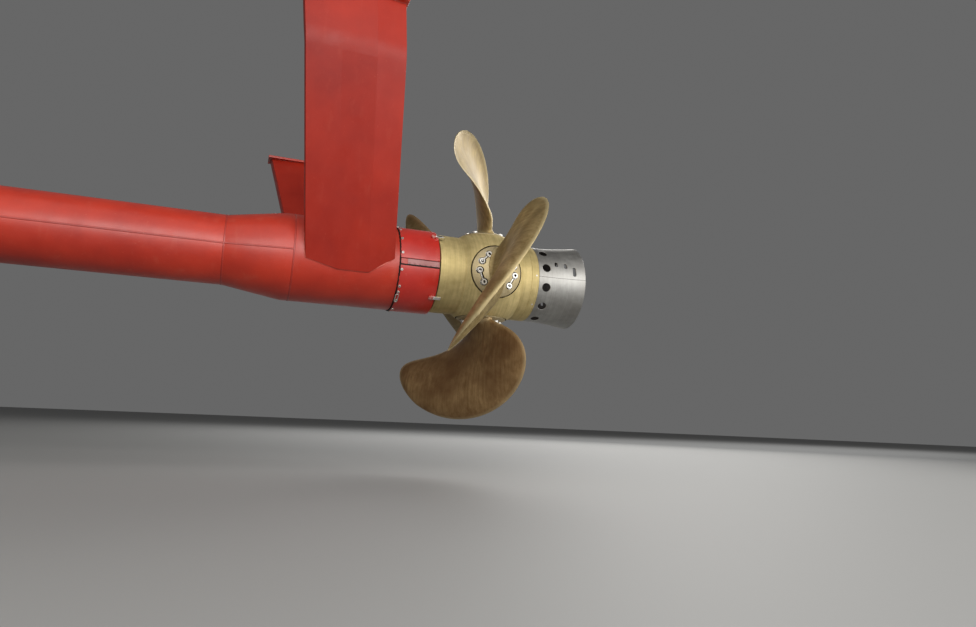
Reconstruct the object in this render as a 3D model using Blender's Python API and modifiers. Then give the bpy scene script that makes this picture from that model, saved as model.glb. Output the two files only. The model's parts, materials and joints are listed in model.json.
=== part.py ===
# Controllable-pitch ship propeller with its rope guard, strut bossing and a stretch of shaft tube.
# Metres. The shaft line runs along X (aft is +X), outboard is -Y and up is +Z.
# The world origin is the middle of the outboard strut arm's top face, where the hull carries it.

import math

import bmesh
import bpy
from mathutils import Matrix

# Clearances
FACE_GAP = 0.0003
SHAFT_CLEARANCE = 0.0005
JOURNAL_CLEARANCE = 0.0004
PORT_SEAM = 0.006
OVERCUT = 0.05

# Propeller blades, in the blade's own frame: spindle along +Z, sections wrapped on cylinders
PROP_RADIUS = 1.490
BLADE_COUNT = 4
PITCH_AT_ROOT = 3.087
PITCH_RISE = 0.450
PITCH_FALL = 0.949
REST_TURN = math.radians(51.0)
BLADE_BASE_RADIUS = 0.440
ROOT_CHORD = 0.382
CHORD_GROWTH = 2.465
CHORD_EASE = 0.698
TIP_FULLNESS = 4.9
TIP_CHORD = 0.008
SKEW_LEAD = 0.472
SKEW_BACK = 0.796
SKEW_TIP = 0.480
RAKE_FORWARD = 0.294
RAKE_RETURN = 0.170
SHIFT_AFT = 0.062
SHIFT_LEAD = 0.020
SHIFT_END_RADIUS = 0.600
CAMBER_AT_ROOT = 0.026
CAMBER_GAIN = 0.020
ROOT_THICKNESS = 0.133
TIP_THICKNESS = 0.018
ROOT_FILLET = 0.030
ROOT_STATIONS = 9
OUTER_STATIONS = 16
SECTION_POINTS = 11

# Hub, turned about the shaft line; lengths along it are measured from the blade spindles
HUB_BALL_RADIUS = 0.485
HUB_BARREL_RADIUS = 0.387
HUB_FORWARD_REACH = 0.550
HUB_CYLINDER_REACH = 0.300
HUB_AFT_REACH = 0.466
HUB_COVER_REACH = 0.390
PALM_RADIUS = 0.250
PALM_SEAT_Z = 0.360
PALM_EMBED = 0.045
JOURNAL_RADIUS = 0.130
JOURNAL_LENGTH = 0.090

# Shaft, its coupling flange and bearings
SHAFT_RADIUS = 0.150
SHAFT_FLANGE_RADIUS = 0.330
SHAFT_FLANGE_THICKNESS = 0.085
BUSH_WALL = 0.045
STRUT_BUSH_LENGTH = 0.860
TUBE_BUSH_LENGTH = 0.300
TUBE_BUSH_INSET = 0.030
SHAFT_STUB = 0.180

# Rope guard round the gap between bossing and hub
GUARD_STEP = 0.023
GUARD_WALL = 0.012
GUARD_LENGTH = 0.378
GUARD_HUB_GAP = 0.016
GUARD_SPLIT_HALF = 0.032
STRIP_WALL = 0.010
STRIP_HALF_WIDTH = 0.065
CUTTER_COUNT = 4
CUTTER_FIRST_ANGLE = math.radians(45.0)
CUTTER_LENGTH = 0.115
CUTTER_OVERHANG = 0.050
CUTTER_WIDTH = 0.032
CUTTER_HEIGHT = 0.020

# Strut bossing, cone and shaft tube
BOSSING_STEP = 0.006
BOSSING_LENGTH = 0.946
CONE_LIP = 0.075
CONE_LENGTH = 0.581
TUBE_RADIUS = 0.316
TUBE_WALL = 0.022
TUBE_LENGTH = 2.350
SPIGOT_LENGTH = 0.070

# Cap skirt behind the hub
CAP_FLARE = 0.042
CAP_WAIST_SHARE = 0.35
CAP_NECK_LENGTH = 0.130
CAP_LENGTH = 0.493
CAP_WALL = 0.012
CAP_FLANGE_WIDTH = 0.087
CAP_FLANGE_THICKNESS = 0.022
CAP_SPLIT_GAP = 0.003
CAP_SPLIT_ANGLE = math.radians(2.0)
HOLE_COUNT = 12
HOLE_RADIUS = 0.043
HOLE_SETBACK = 0.083
HOLE_FIRST_ANGLE = math.radians(16.4)
END_CAP_CLEARANCE = 0.030
END_CAP_RIM = 0.030
END_CAP_RISE = 0.090

# Strut arms: plated foil section, chord along X, leaning away from the vertical
ARM_CHORD = 0.803
ARM_HEAD_CHORD = 0.862
ARM_THICKNESS = 0.140
ARM_FLAT_START = 0.284
ARM_FLAT_END = 0.565
ARM_NOSE_THICKNESS = 0.116
ARM_SHOULDER_THICKNESS = 0.084
ARM_TAIL_THICKNESS = 0.078
ARM_NOSE_DEPTH = 0.008
ARM_SHOULDER_DEPTH = 0.002
ARM_PROUD = 0.012
ARM_SETBACK = 0.098
ARM_HEAD_START = 1.850
ARM_HEAD_BEND = 0.500
ARM_CORNER_RISE_FORWARD = 0.070
ARM_CORNER_RISE_AFT = 0.150
OUTBOARD_LEAN = math.radians(20.0)
OUTBOARD_SWEEP = math.radians(6.0)
OUTBOARD_TOP_Z = 2.150
INBOARD_LEAN = math.radians(36.0)
INBOARD_SWEEP = math.radians(9.5)
INBOARD_TOP_Z = 1.430
PALM_PLATE_THICKNESS = 0.025
PALM_PLATE_MARGIN = 0.030

# Segments and steps of the round pieces
SHAFT_SEGMENTS = 72
HUB_SEGMENTS = 64
PALM_SEGMENTS = 48
HOLE_SEGMENTS = 24
BALL_STEPS = 12
CROWN_STEPS = 5
DOME_STEPS = 6
HEAD_STEPS = 4

# Radii and places that follow from the driving dimensions; X is measured from the blade spindles
GUARD_RADIUS = HUB_BARREL_RADIUS + GUARD_STEP
BOSSING_RADIUS = GUARD_RADIUS - BOSSING_STEP
CAP_MOUTH_RADIUS = HUB_BARREL_RADIUS + CAP_FLARE
CAP_FLANGE_INNER = HUB_BARREL_RADIUS - CAP_FLANGE_WIDTH
END_CAP_RADIUS = CAP_FLANGE_INNER - END_CAP_CLEARANCE
BLADE_EMBED_RADIUS = PALM_SEAT_Z + PALM_EMBED
JOURNAL_FOOT_Z = PALM_SEAT_Z - JOURNAL_LENGTH
GUARD_AFT_X = -(HUB_FORWARD_REACH + GUARD_HUB_GAP)
BOSSING_AFT_X = GUARD_AFT_X - GUARD_LENGTH
BOSSING_FORWARD_X = BOSSING_AFT_X - BOSSING_LENGTH
CONE_FORWARD_X = BOSSING_FORWARD_X - CONE_LENGTH
TUBE_FORWARD_X = CONE_FORWARD_X - TUBE_LENGTH
ARM_FORWARD_X = BOSSING_FORWARD_X + ARM_SETBACK

PART_NAME = "cpp_propeller"


def clear_scene():
    """Remove whatever the file holds."""
    for obj in list(bpy.data.objects):
        bpy.data.objects.remove(obj, do_unlink=True)


def collection(name):
    """Return a new collection linked to the scene."""
    made = bpy.data.collections.new(name)
    bpy.context.scene.collection.children.link(made)
    return made


def material(name, color, roughness, metallic):
    """Return a Principled material."""
    made = bpy.data.materials.new(name)
    made.use_nodes = True
    shader = made.node_tree.nodes["Principled BSDF"]
    shader.inputs["Base Color"].default_value = (*color, 1.0)
    shader.inputs["Roughness"].default_value = roughness
    shader.inputs["Metallic"].default_value = metallic
    return made


clear_scene()
PARTS = collection(PART_NAME)
CUTTERS = collection("cutters")

BRONZE = dict(color=(0.42, 0.33, 0.14), roughness=0.38, metallic=1.0)
BLADE_BRONZE = dict(color=(0.34, 0.25, 0.10), roughness=0.42, metallic=1.0)
RED_PAINT = dict(color=(0.42, 0.035, 0.02), roughness=0.35, metallic=0.0)
GUARD_PAINT = dict(color=(0.46, 0.03, 0.025), roughness=0.40, metallic=0.0)
STAINLESS = dict(color=(0.55, 0.54, 0.50), roughness=0.30, metallic=1.0)
STEEL = dict(color=(0.30, 0.30, 0.31), roughness=0.35, metallic=1.0)
BUSH_METAL = dict(color=(0.45, 0.35, 0.18), roughness=0.45, metallic=1.0)


def new_object(name, mesh, where):
    """Link a mesh object to a collection."""
    obj = bpy.data.objects.new(name, mesh)
    where.objects.link(obj)
    if where is CUTTERS:
        obj.hide_render = True
        obj.display_type = "WIRE"
    return obj


def evaluated_mesh(obj):
    """Return the mesh that an object's modifiers give."""
    graph = bpy.context.evaluated_depsgraph_get()
    return bpy.data.meshes.new_from_object(obj.evaluated_get(graph))


def bake(obj):
    """Apply every modifier of an object to its own mesh."""
    bpy.context.view_layer.update()
    mesh = evaluated_mesh(obj)
    obj.modifiers.clear()
    obj.data = mesh


def finish(obj, parent, finish_values, smooth_angle=30.0):
    """Give a piece its parent, its material and its shading."""
    obj.parent = parent
    obj.data.materials.clear()
    obj.data.materials.append(material(obj.name, **finish_values))
    obj.data.shade_smooth()
    obj.data.set_sharp_from_angle(angle=math.radians(smooth_angle))
    return obj


def empty(name, location, parent=None):
    """Return an empty that carries other pieces."""
    made = bpy.data.objects.new(name, None)
    PARTS.objects.link(made)
    made.location = location
    made.parent = parent
    return made


def turned(name, profile, segments, where=None, closed=True):
    """Turn a profile of (radius, height) points about Z; it runs down the outer side first."""
    mesh = bpy.data.meshes.new(name)
    count = len(profile)
    edges = [(i, i + 1) for i in range(count - 1)]
    if closed:
        edges.append((count - 1, 0))
    mesh.from_pydata([(r, 0.0, z) for r, z in profile], edges, [])
    obj = new_object(name, mesh, where or PARTS)
    screw = obj.modifiers.new("turn", "SCREW")
    screw.angle = math.tau
    screw.steps = segments
    screw.render_steps = segments
    screw.use_merge_vertices = True
    screw.merge_threshold = 0.00001
    bake(obj)
    return obj


def along_shaft(obj):
    """Lay a piece turned about Z along the shaft line, its +Z towards aft."""
    obj.data.transform(Matrix.Rotation(math.pi / 2, 4, "Y"))
    return obj


def ring_profile(outer, inner, high, low):
    """Return the closed profile of a plain ring."""
    return [(outer, high), (outer, low), (inner, low), (inner, high)]


def disc_profile(radius, high, low):
    """Return the profile of a solid disc or rod."""
    return [(0.0, high), (radius, high), (radius, low), (0.0, low)]


def prism(name, outline, depth, where=None):
    """Return a prism from a flat outline in XY, from Z = 0 up to its depth."""
    curve = bpy.data.curves.new(name + "_outline", "CURVE")
    curve.dimensions = "2D"
    curve.fill_mode = "BOTH"
    curve.extrude = depth / 2
    spline = curve.splines.new("POLY")
    spline.points.add(len(outline) - 1)
    for point, (x, y) in zip(spline.points, outline):
        point.co = (x, y, 0.0, 1.0)
    spline.use_cyclic_u = True
    guide = bpy.data.objects.new(name + "_outline", curve)
    CUTTERS.objects.link(guide)
    bpy.context.view_layer.update()
    mesh = evaluated_mesh(guide)
    bpy.data.objects.remove(guide, do_unlink=True)
    edit = bmesh.new()
    edit.from_mesh(mesh)
    bmesh.ops.remove_doubles(edit, verts=edit.verts, dist=0.00001)
    bmesh.ops.recalc_face_normals(edit, faces=edit.faces)
    bmesh.ops.translate(edit, verts=edit.verts, vec=(0.0, 0.0, depth / 2))
    edit.to_mesh(mesh)
    edit.free()
    return new_object(name, mesh, where or PARTS)


def block(name, low, high, where=None):
    """Return a box between two corners."""
    edit = bmesh.new()
    bmesh.ops.create_cube(edit, size=1.0)
    size = [b - a for a, b in zip(low, high)]
    middle = [(a + b) / 2 for a, b in zip(low, high)]
    bmesh.ops.scale(edit, verts=edit.verts, vec=size)
    bmesh.ops.translate(edit, verts=edit.verts, vec=middle)
    mesh = bpy.data.meshes.new(name)
    edit.to_mesh(mesh)
    edit.free()
    return new_object(name, mesh, where or PARTS)


def boolean(obj, cutter, operation):
    """Cut, join or intersect an object with another and keep the result."""
    step = obj.modifiers.new(operation.lower(), "BOOLEAN")
    step.operation = operation
    step.solver = "EXACT"
    step.object = cutter
    bake(obj)
    return obj


def drop(obj):
    """Remove a helper object."""
    bpy.data.objects.remove(obj, do_unlink=True)


def cut(obj, cutter):
    """Subtract a cutter and remove it."""
    boolean(obj, cutter, "DIFFERENCE")
    drop(cutter)
    return obj


# Blades

def blade_fraction(radius):
    """Return the share of the span at a radius, 0 at the base and 1 at the tip."""
    return (radius - BLADE_BASE_RADIUS) / (PROP_RADIUS - BLADE_BASE_RADIUS)


def smooth_step(value, low, high):
    """Return 0 below low, 1 above high and an S curve between."""
    share = min(max((value - low) / (high - low), 0.0), 1.0)
    return share * share * (3.0 - 2.0 * share)


def blade_chord(radius):
    """Return the chord at a radius: narrow at the palm, widest outboard, closing at the tip."""
    t = max(blade_fraction(radius), 0.0)
    spread = ROOT_CHORD + CHORD_GROWTH * t - CHORD_EASE * t ** 2
    return spread * math.sqrt(max(1.0 - t ** TIP_FULLNESS, 0.0)) + TIP_CHORD


def blade_thickness(radius):
    """Return the greatest thickness at a radius."""
    t = max(blade_fraction(radius), 0.0)
    return ROOT_THICKNESS + (TIP_THICKNESS - ROOT_THICKNESS) * t


def root_flare(axial, radius):
    """Return how far the root's fillet stands out, by a point's height over the hub ball."""
    room = PALM_RADIUS - 0.5 * (ROOT_CHORD + TIP_CHORD)
    fillet = min(ROOT_FILLET, room)
    height = math.hypot(axial, radius) - HUB_BALL_RADIUS
    rest = 1.0 - min(max(height / fillet, 0.0), 1.0)
    return fillet * (1.0 - math.sqrt(1.0 - rest * rest))


def blade_section(radius):
    """Return the loop of points of one section, leading edge first, round both sides."""
    t = blade_fraction(radius)
    chord = blade_chord(radius)
    thickness = blade_thickness(radius)
    share = smooth_step(radius, BLADE_BASE_RADIUS, SHIFT_END_RADIUS)
    skew = SKEW_LEAD * t - SKEW_BACK * t ** 2 - SKEW_TIP * t ** 3
    rake = RAKE_RETURN * t ** 3 - RAKE_FORWARD * t
    pitch = PITCH_AT_ROOT + PITCH_RISE * t - PITCH_FALL * t ** 2
    camber = (CAMBER_AT_ROOT + CAMBER_GAIN * t) * chord
    angle = math.atan(pitch / (math.tau * radius))
    loop = []
    for step in range(2 * SECTION_POINTS):
        turn = math.pi * step / SECTION_POINTS
        along = skew + 0.5 * chord * math.cos(turn)
        flare = root_flare(rake - along * math.sin(angle), radius)
        along += flare * math.cos(turn)
        normal = (0.5 * thickness + flare) * math.sin(turn) - camber * math.sin(turn) ** 2
        axial = rake - along * math.sin(angle) + normal * math.cos(angle)
        arc = (along * math.cos(angle) + normal * math.sin(angle)) / radius
        loop.append((axial + SHIFT_AFT * share,
                     radius * math.sin(arc) + SHIFT_LEAD * share,
                     radius * math.cos(arc)))
    return loop


def blade_radii():
    """Return the station radii: even steps through the root fillet, then closer towards the tip."""
    start = HUB_BALL_RADIUS + ROOT_FILLET
    step = (start - BLADE_EMBED_RADIUS) / ROOT_STATIONS
    root = [BLADE_EMBED_RADIUS + step * i for i in range(ROOT_STATIONS)]
    turns = [0.5 * math.pi * i / OUTER_STATIONS for i in range(OUTER_STATIONS + 1)]
    return root + [start + (PROP_RADIUS - start) * math.sin(turn) for turn in turns]


def blade_foil(name):
    """Loft the blade through its sections."""
    edit = bmesh.new()
    loops = [[edit.verts.new(p) for p in blade_section(r)] for r in blade_radii()]
    count = 2 * SECTION_POINTS
    for low, high in zip(loops, loops[1:]):
        for i in range(count):
            j = (i + 1) % count
            edit.faces.new((low[i], low[j], high[j], high[i]))
    edit.faces.new(list(reversed(loops[0])))
    edit.faces.new(loops[-1])
    bmesh.ops.recalc_face_normals(edit, faces=edit.faces)
    bmesh.ops.triangulate(edit, faces=edit.faces)
    mesh = bpy.data.meshes.new(name)
    edit.to_mesh(mesh)
    edit.free()
    return new_object(name, mesh, PARTS)


def ball_height(distance):
    """Return the height of the hub ball at a distance from a spindle."""
    return math.sqrt(HUB_BALL_RADIUS ** 2 - distance ** 2)


def palm_solid(name):
    """Turn the palm: a slice of the hub ball on its seat, with the journal below."""
    crown = [PALM_RADIUS * i / CROWN_STEPS for i in range(CROWN_STEPS + 1)]
    profile = [(r, ball_height(r)) for r in crown]
    profile += [(PALM_RADIUS, PALM_SEAT_Z), (JOURNAL_RADIUS, PALM_SEAT_Z)]
    profile += [(JOURNAL_RADIUS, JOURNAL_FOOT_Z), (0.0, JOURNAL_FOOT_Z)]
    return turned(name, profile, PALM_SEGMENTS, CUTTERS, closed=False)


def make_blade(number, hub_empty):
    """Build one blade with its palm on its own spindle empty."""
    name = f"blade_{number}"
    spindle = empty(f"pitch_axis_{number}", (0.0, 0.0, 0.0), hub_empty)
    spindle.rotation_euler = (math.tau * (number - 1) / BLADE_COUNT, 0.0, 0.0)
    blade = blade_foil(name)
    palm = palm_solid(name + "_palm")
    boolean(blade, palm, "UNION")
    drop(palm)
    blade.data.transform(Matrix.Rotation(-REST_TURN, 4, "Z"))
    return finish(blade, spindle, BLADE_BRONZE, 40.0)


# Hub

def hub_ball_profile(forward, aft):
    """Return the outer line of the hub from aft to forward: barrel, ball, barrel."""
    meet = math.sqrt(HUB_BALL_RADIUS ** 2 - HUB_BARREL_RADIUS ** 2)
    points = [(HUB_BARREL_RADIUS, aft)]
    for i in range(BALL_STEPS + 1):
        x = meet - 2 * meet * i / BALL_STEPS
        points.append((math.sqrt(HUB_BALL_RADIUS ** 2 - x ** 2), x))
    points.append((HUB_BARREL_RADIUS, forward))
    return points


def port_cutter(number):
    """Return the cutter of one blade port: the palm's seat and the journal's bore."""
    wide = PALM_RADIUS + PORT_SEAM
    bore = JOURNAL_RADIUS + JOURNAL_CLEARANCE
    top = HUB_BALL_RADIUS + OVERCUT
    profile = [(0.0, top), (wide, top), (wide, PALM_SEAT_Z - FACE_GAP), (bore, PALM_SEAT_Z - FACE_GAP)]
    profile += [(bore, JOURNAL_FOOT_Z - FACE_GAP), (0.0, JOURNAL_FOOT_Z - FACE_GAP)]
    cutter = turned(f"port_cutter_{number}", profile, PALM_SEGMENTS, CUTTERS, closed=False)
    cutter.data.transform(Matrix.Rotation(math.tau * number / BLADE_COUNT, 4, "X"))
    return cutter


def hub_solid(name, profile):
    """Turn a piece of the hub, its facets set so that none of their edges meets a port's middle."""
    piece = along_shaft(turned(name, profile, HUB_SEGMENTS, closed=False))
    piece.data.transform(Matrix.Rotation(math.pi / HUB_SEGMENTS, 4, "X"))
    return piece


def make_hub(hub_empty):
    """Build the hub: forward cylinder, ball with the four blade ports, aft cover and end cap."""
    body_forward = FACE_GAP - HUB_CYLINDER_REACH
    body_aft = HUB_COVER_REACH - FACE_GAP
    outer = hub_ball_profile(body_forward, body_aft)
    body = hub_solid("hub_body", [(0.0, body_aft)] + outer + [(0.0, body_forward)])
    for number in range(BLADE_COUNT):
        cut(body, port_cutter(number))
    finish(body, hub_empty, BRONZE)
    cylinder = hub_solid("hub_forward_cylinder",
                         disc_profile(HUB_BARREL_RADIUS, -HUB_CYLINDER_REACH, -HUB_FORWARD_REACH))
    finish(cylinder, hub_empty, BRONZE)
    cover = hub_solid("hub_aft_cover", disc_profile(HUB_BARREL_RADIUS, HUB_AFT_REACH, HUB_COVER_REACH))
    finish(cover, hub_empty, BRONZE)
    make_end_cap(hub_empty)


def make_end_cap(hub_empty):
    """Build the domed cap on the aft cover, inside the skirt."""
    base = HUB_AFT_REACH + FACE_GAP
    profile = []
    for i in range(DOME_STEPS + 1):
        turn = 0.5 * math.pi * i / DOME_STEPS
        profile.append((END_CAP_RADIUS * math.sin(turn),
                        base + END_CAP_RIM + END_CAP_RISE * math.cos(turn)))
    profile += [(END_CAP_RADIUS, base), (0.0, base)]
    cap = along_shaft(turned("hub_end_cap", profile, PALM_SEGMENTS, closed=False))
    finish(cap, hub_empty, BRONZE)


# Shaft and bearings

def make_shaft(hub_empty):
    """Build the propeller shaft with the flange that the hub bolts to."""
    face = -HUB_FORWARD_REACH - FACE_GAP
    back = face - SHAFT_FLANGE_THICKNESS
    end = TUBE_FORWARD_X - SHAFT_STUB
    profile = [(0.0, face), (SHAFT_FLANGE_RADIUS, face), (SHAFT_FLANGE_RADIUS, back)]
    profile += [(SHAFT_RADIUS, back), (SHAFT_RADIUS, end), (0.0, end)]
    shaft = along_shaft(turned("propeller_shaft", profile, SHAFT_SEGMENTS, closed=False))
    finish(shaft, hub_empty, STEEL)


def make_bushes(line):
    """Build the two water-lubricated bushes that carry the shaft."""
    inner = SHAFT_RADIUS + SHAFT_CLEARANCE
    outer = SHAFT_RADIUS + BUSH_WALL
    middle = (BOSSING_AFT_X + BOSSING_FORWARD_X) / 2
    strut = ring_profile(outer, inner, middle + STRUT_BUSH_LENGTH / 2, middle - STRUT_BUSH_LENGTH / 2)
    finish(along_shaft(turned("strut_bearing_bush", strut, SHAFT_SEGMENTS)), line, BUSH_METAL)
    low = TUBE_FORWARD_X + TUBE_BUSH_INSET
    wide = TUBE_RADIUS - TUBE_WALL - FACE_GAP
    tube = ring_profile(wide, inner, low + TUBE_BUSH_LENGTH, low)
    finish(along_shaft(turned("tube_bearing_bush", tube, SHAFT_SEGMENTS)), line, BUSH_METAL)


# Bossing, cone and tube

def make_bossing(line):
    """Build the strut bossing with the spigot that the rope guard clamps round."""
    bore = SHAFT_RADIUS + BUSH_WALL + FACE_GAP
    spigot = GUARD_RADIUS - GUARD_WALL - FACE_GAP
    end = BOSSING_AFT_X + SPIGOT_LENGTH
    profile = [(spigot, end), (spigot, BOSSING_AFT_X), (BOSSING_RADIUS, BOSSING_AFT_X)]
    profile += [(BOSSING_RADIUS, BOSSING_FORWARD_X + FACE_GAP), (bore, BOSSING_FORWARD_X + FACE_GAP)]
    profile += [(bore, end)]
    finish(along_shaft(turned("strut_bossing", profile, SHAFT_SEGMENTS)), line, RED_PAINT)


def make_cone(line):
    """Build the cone that brings the tube out to the bossing."""
    lip = BOSSING_FORWARD_X - CONE_LIP
    outer = [(BOSSING_RADIUS, BOSSING_FORWARD_X), (BOSSING_RADIUS, lip), (TUBE_RADIUS, CONE_FORWARD_X)]
    inner = [(r - TUBE_WALL, x) for r, x in reversed(outer)]
    finish(along_shaft(turned("bossing_cone", outer + inner, SHAFT_SEGMENTS)), line, RED_PAINT)


def make_tube(line):
    """Build the shaft tube as far as it is kept."""
    profile = ring_profile(TUBE_RADIUS, TUBE_RADIUS - TUBE_WALL, CONE_FORWARD_X - FACE_GAP, TUBE_FORWARD_X)
    finish(along_shaft(turned("shaft_tube", profile, SHAFT_SEGMENTS)), line, RED_PAINT)


# Rope guard

def half_space(name, tilt, offset, upper):
    """Return a large box above or below a plane through the shaft line."""
    reach = PROP_RADIUS
    low = (TUBE_FORWARD_X, -reach, offset)
    high = (reach, reach, reach)
    cutter = block(name, low, high, CUTTERS)
    turn = tilt if upper else tilt + math.pi
    cutter.data.transform(Matrix.Rotation(turn, 4, "X"))
    return cutter


def half_ring(name, profile, tilt, half_gap, upper):
    """Return the upper or lower half of a turned ring, its joint kept open by a gap."""
    ring = along_shaft(turned(name, profile, SHAFT_SEGMENTS))
    keeper = half_space(name + "_keeper", tilt, half_gap, upper)
    boolean(ring, keeper, "INTERSECT")
    drop(keeper)
    return ring


def make_guard(line):
    """Build the two guard halves and the strips behind their joints."""
    forward = BOSSING_AFT_X + FACE_GAP
    profile = ring_profile(GUARD_RADIUS, GUARD_RADIUS - GUARD_WALL, GUARD_AFT_X, forward)
    for name, upper in (("rope_guard_upper", True), ("rope_guard_lower", False)):
        finish(half_ring(name, profile, 0.0, GUARD_SPLIT_HALF, upper), line, GUARD_PAINT)
    for name, side in (("guard_joint_outboard", -1.0), ("guard_joint_inboard", 1.0)):
        make_joint_strip(name, side, line)


def make_joint_strip(name, side, line):
    """Build the curved strip that joins the guard halves from inside."""
    outer = GUARD_RADIUS - GUARD_WALL - FACE_GAP
    forward = BOSSING_AFT_X + SPIGOT_LENGTH + FACE_GAP
    strip = along_shaft(turned(name, ring_profile(outer, outer - STRIP_WALL, GUARD_AFT_X, forward),
                               SHAFT_SEGMENTS))
    reach = GUARD_RADIUS + OVERCUT
    low = (TUBE_FORWARD_X, min(0.0, side * reach), -STRIP_HALF_WIDTH)
    high = (0.0, max(0.0, side * reach), STRIP_HALF_WIDTH)
    keeper = block(name + "_keeper", low, high, CUTTERS)
    boolean(strip, keeper, "INTERSECT")
    drop(keeper)
    finish(strip, line, GUARD_PAINT)


def make_cutters(line):
    """Build the rope cutters: blocks on the guard that reach over the hub's edge."""
    aft = GUARD_AFT_X + CUTTER_OVERHANG
    foot = GUARD_RADIUS + FACE_GAP
    for number in range(CUTTER_COUNT):
        turn = CUTTER_FIRST_ANGLE + math.tau * number / CUTTER_COUNT
        name = f"rope_cutter_{number + 1}"
        low = (aft - CUTTER_LENGTH, -CUTTER_WIDTH / 2, foot)
        high = (aft, CUTTER_WIDTH / 2, foot + CUTTER_HEIGHT)
        piece = block(name, low, high)
        piece.data.transform(Matrix.Rotation(turn, 4, "X"))
        finish(piece, line, STAINLESS)


# Cap skirt

def cap_profile():
    """Return the skirt's closed profile: flange, neck and flared mouth."""
    start = HUB_AFT_REACH + FACE_GAP
    neck = start + CAP_NECK_LENGTH
    mouth = start + CAP_LENGTH
    waist = (neck + mouth) / 2
    waist_radius = HUB_BARREL_RADIUS + CAP_FLARE * CAP_WAIST_SHARE
    outer = [(CAP_MOUTH_RADIUS, mouth), (waist_radius, waist), (HUB_BARREL_RADIUS, neck)]
    outer += [(HUB_BARREL_RADIUS, start)]
    back = start + CAP_FLANGE_THICKNESS
    inner = [(CAP_FLANGE_INNER, start), (CAP_FLANGE_INNER, back), (HUB_BARREL_RADIUS - CAP_WALL, back)]
    inner += [(HUB_BARREL_RADIUS - CAP_WALL, neck), (waist_radius - CAP_WALL, waist)]
    inner += [(CAP_MOUTH_RADIUS - CAP_WALL, mouth)]
    return outer + inner


def hole_cutter():
    """Return all the skirt's round holes as one cutter of radial rods."""
    edit = bmesh.new()
    x = HUB_AFT_REACH + HOLE_SETBACK
    depth = 2 * (CAP_FLARE + OVERCUT)
    for number in range(HOLE_COUNT):
        turn = HOLE_FIRST_ANGLE + math.tau * number / HOLE_COUNT
        rod = bmesh.ops.create_cone(edit, cap_ends=True, segments=HOLE_SEGMENTS,
                                    radius1=HOLE_RADIUS, radius2=HOLE_RADIUS, depth=depth)
        bmesh.ops.translate(edit, verts=rod["verts"], vec=(x, 0.0, HUB_BARREL_RADIUS))
        bmesh.ops.rotate(edit, verts=rod["verts"], matrix=Matrix.Rotation(math.pi / 2 - turn, 3, "X"))
    mesh = bpy.data.meshes.new("skirt_holes")
    edit.to_mesh(mesh)
    edit.free()
    return new_object("skirt_holes", mesh, CUTTERS)


def make_cap(hub_empty):
    """Build the two halves of the cap skirt."""
    for name, upper in (("cap_skirt_upper", True), ("cap_skirt_lower", False)):
        half = half_ring(name, cap_profile(), -CAP_SPLIT_ANGLE, CAP_SPLIT_GAP / 2, upper)
        cut(half, hole_cutter())
        finish(half, hub_empty, STAINLESS)


# Strut arms

def arm_section():
    """Return the arm's section: X along the chord from the nose, Y from the outer face inwards."""
    middle = ARM_THICKNESS / 2
    upper = [(0.0, middle), (ARM_SHOULDER_DEPTH, middle - ARM_SHOULDER_THICKNESS / 2)]
    upper += [(ARM_NOSE_DEPTH, middle - ARM_NOSE_THICKNESS / 2), (ARM_FLAT_START, 0.0)]
    upper += [(ARM_FLAT_END, 0.0), (ARM_CHORD, middle - ARM_TAIL_THICKNESS / 2)]
    lower = [(x, ARM_THICKNESS - y) for x, y in reversed(upper[1:])]
    return upper + lower


def arm_outline(length):
    """Return the arm's outline seen square on, with its clipped lower corners."""
    return [(-OVERCUT, ARM_CORNER_RISE_FORWARD), (0.0, ARM_CORNER_RISE_FORWARD), (ARM_FLAT_START, 0.0),
            (ARM_FLAT_END, 0.0), (ARM_CHORD, ARM_CORNER_RISE_AFT),
            (ARM_CHORD + OVERCUT, ARM_CORNER_RISE_AFT),
            (ARM_CHORD + OVERCUT, length), (-OVERCUT, length)]


def arm_place(point, side, lean, turn, sweep):
    """Return where a point of the straight arm stands: widened, swept, bent at its head and leaning."""
    x, y, z = point
    widening = 1.0 + (ARM_HEAD_CHORD / ARM_CHORD - 1.0) * z / ARM_HEAD_START
    bend = min(max((z - ARM_HEAD_START) / ARM_HEAD_BEND, 0.0), turn)
    rest = z - ARM_HEAD_START - bend * ARM_HEAD_BEND
    inward = ARM_HEAD_BEND * (1.0 - math.cos(bend)) + rest * math.sin(bend) + y * math.cos(bend)
    along = ARM_HEAD_START + ARM_HEAD_BEND * math.sin(bend) + rest * math.cos(bend) - y * math.sin(bend)
    flank = BOSSING_RADIUS + ARM_PROUD
    outward = (flank - inward) * math.cos(lean) + along * math.sin(lean)
    height = (inward - flank) * math.sin(lean) + along * math.cos(lean)
    return (ARM_FORWARD_X + x * widening - z * math.tan(sweep), side * outward, height)


def arm_reach(y, side, lean, turn, sweep, top_z):
    """Return how far along the straight arm a line at depth y comes to the top's height."""
    start = ARM_HEAD_START + ARM_HEAD_BEND * turn
    height = arm_place((0.0, y, start), side, lean, turn, sweep)[2]
    return start + (top_z - height) / math.cos(lean - turn)


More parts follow.
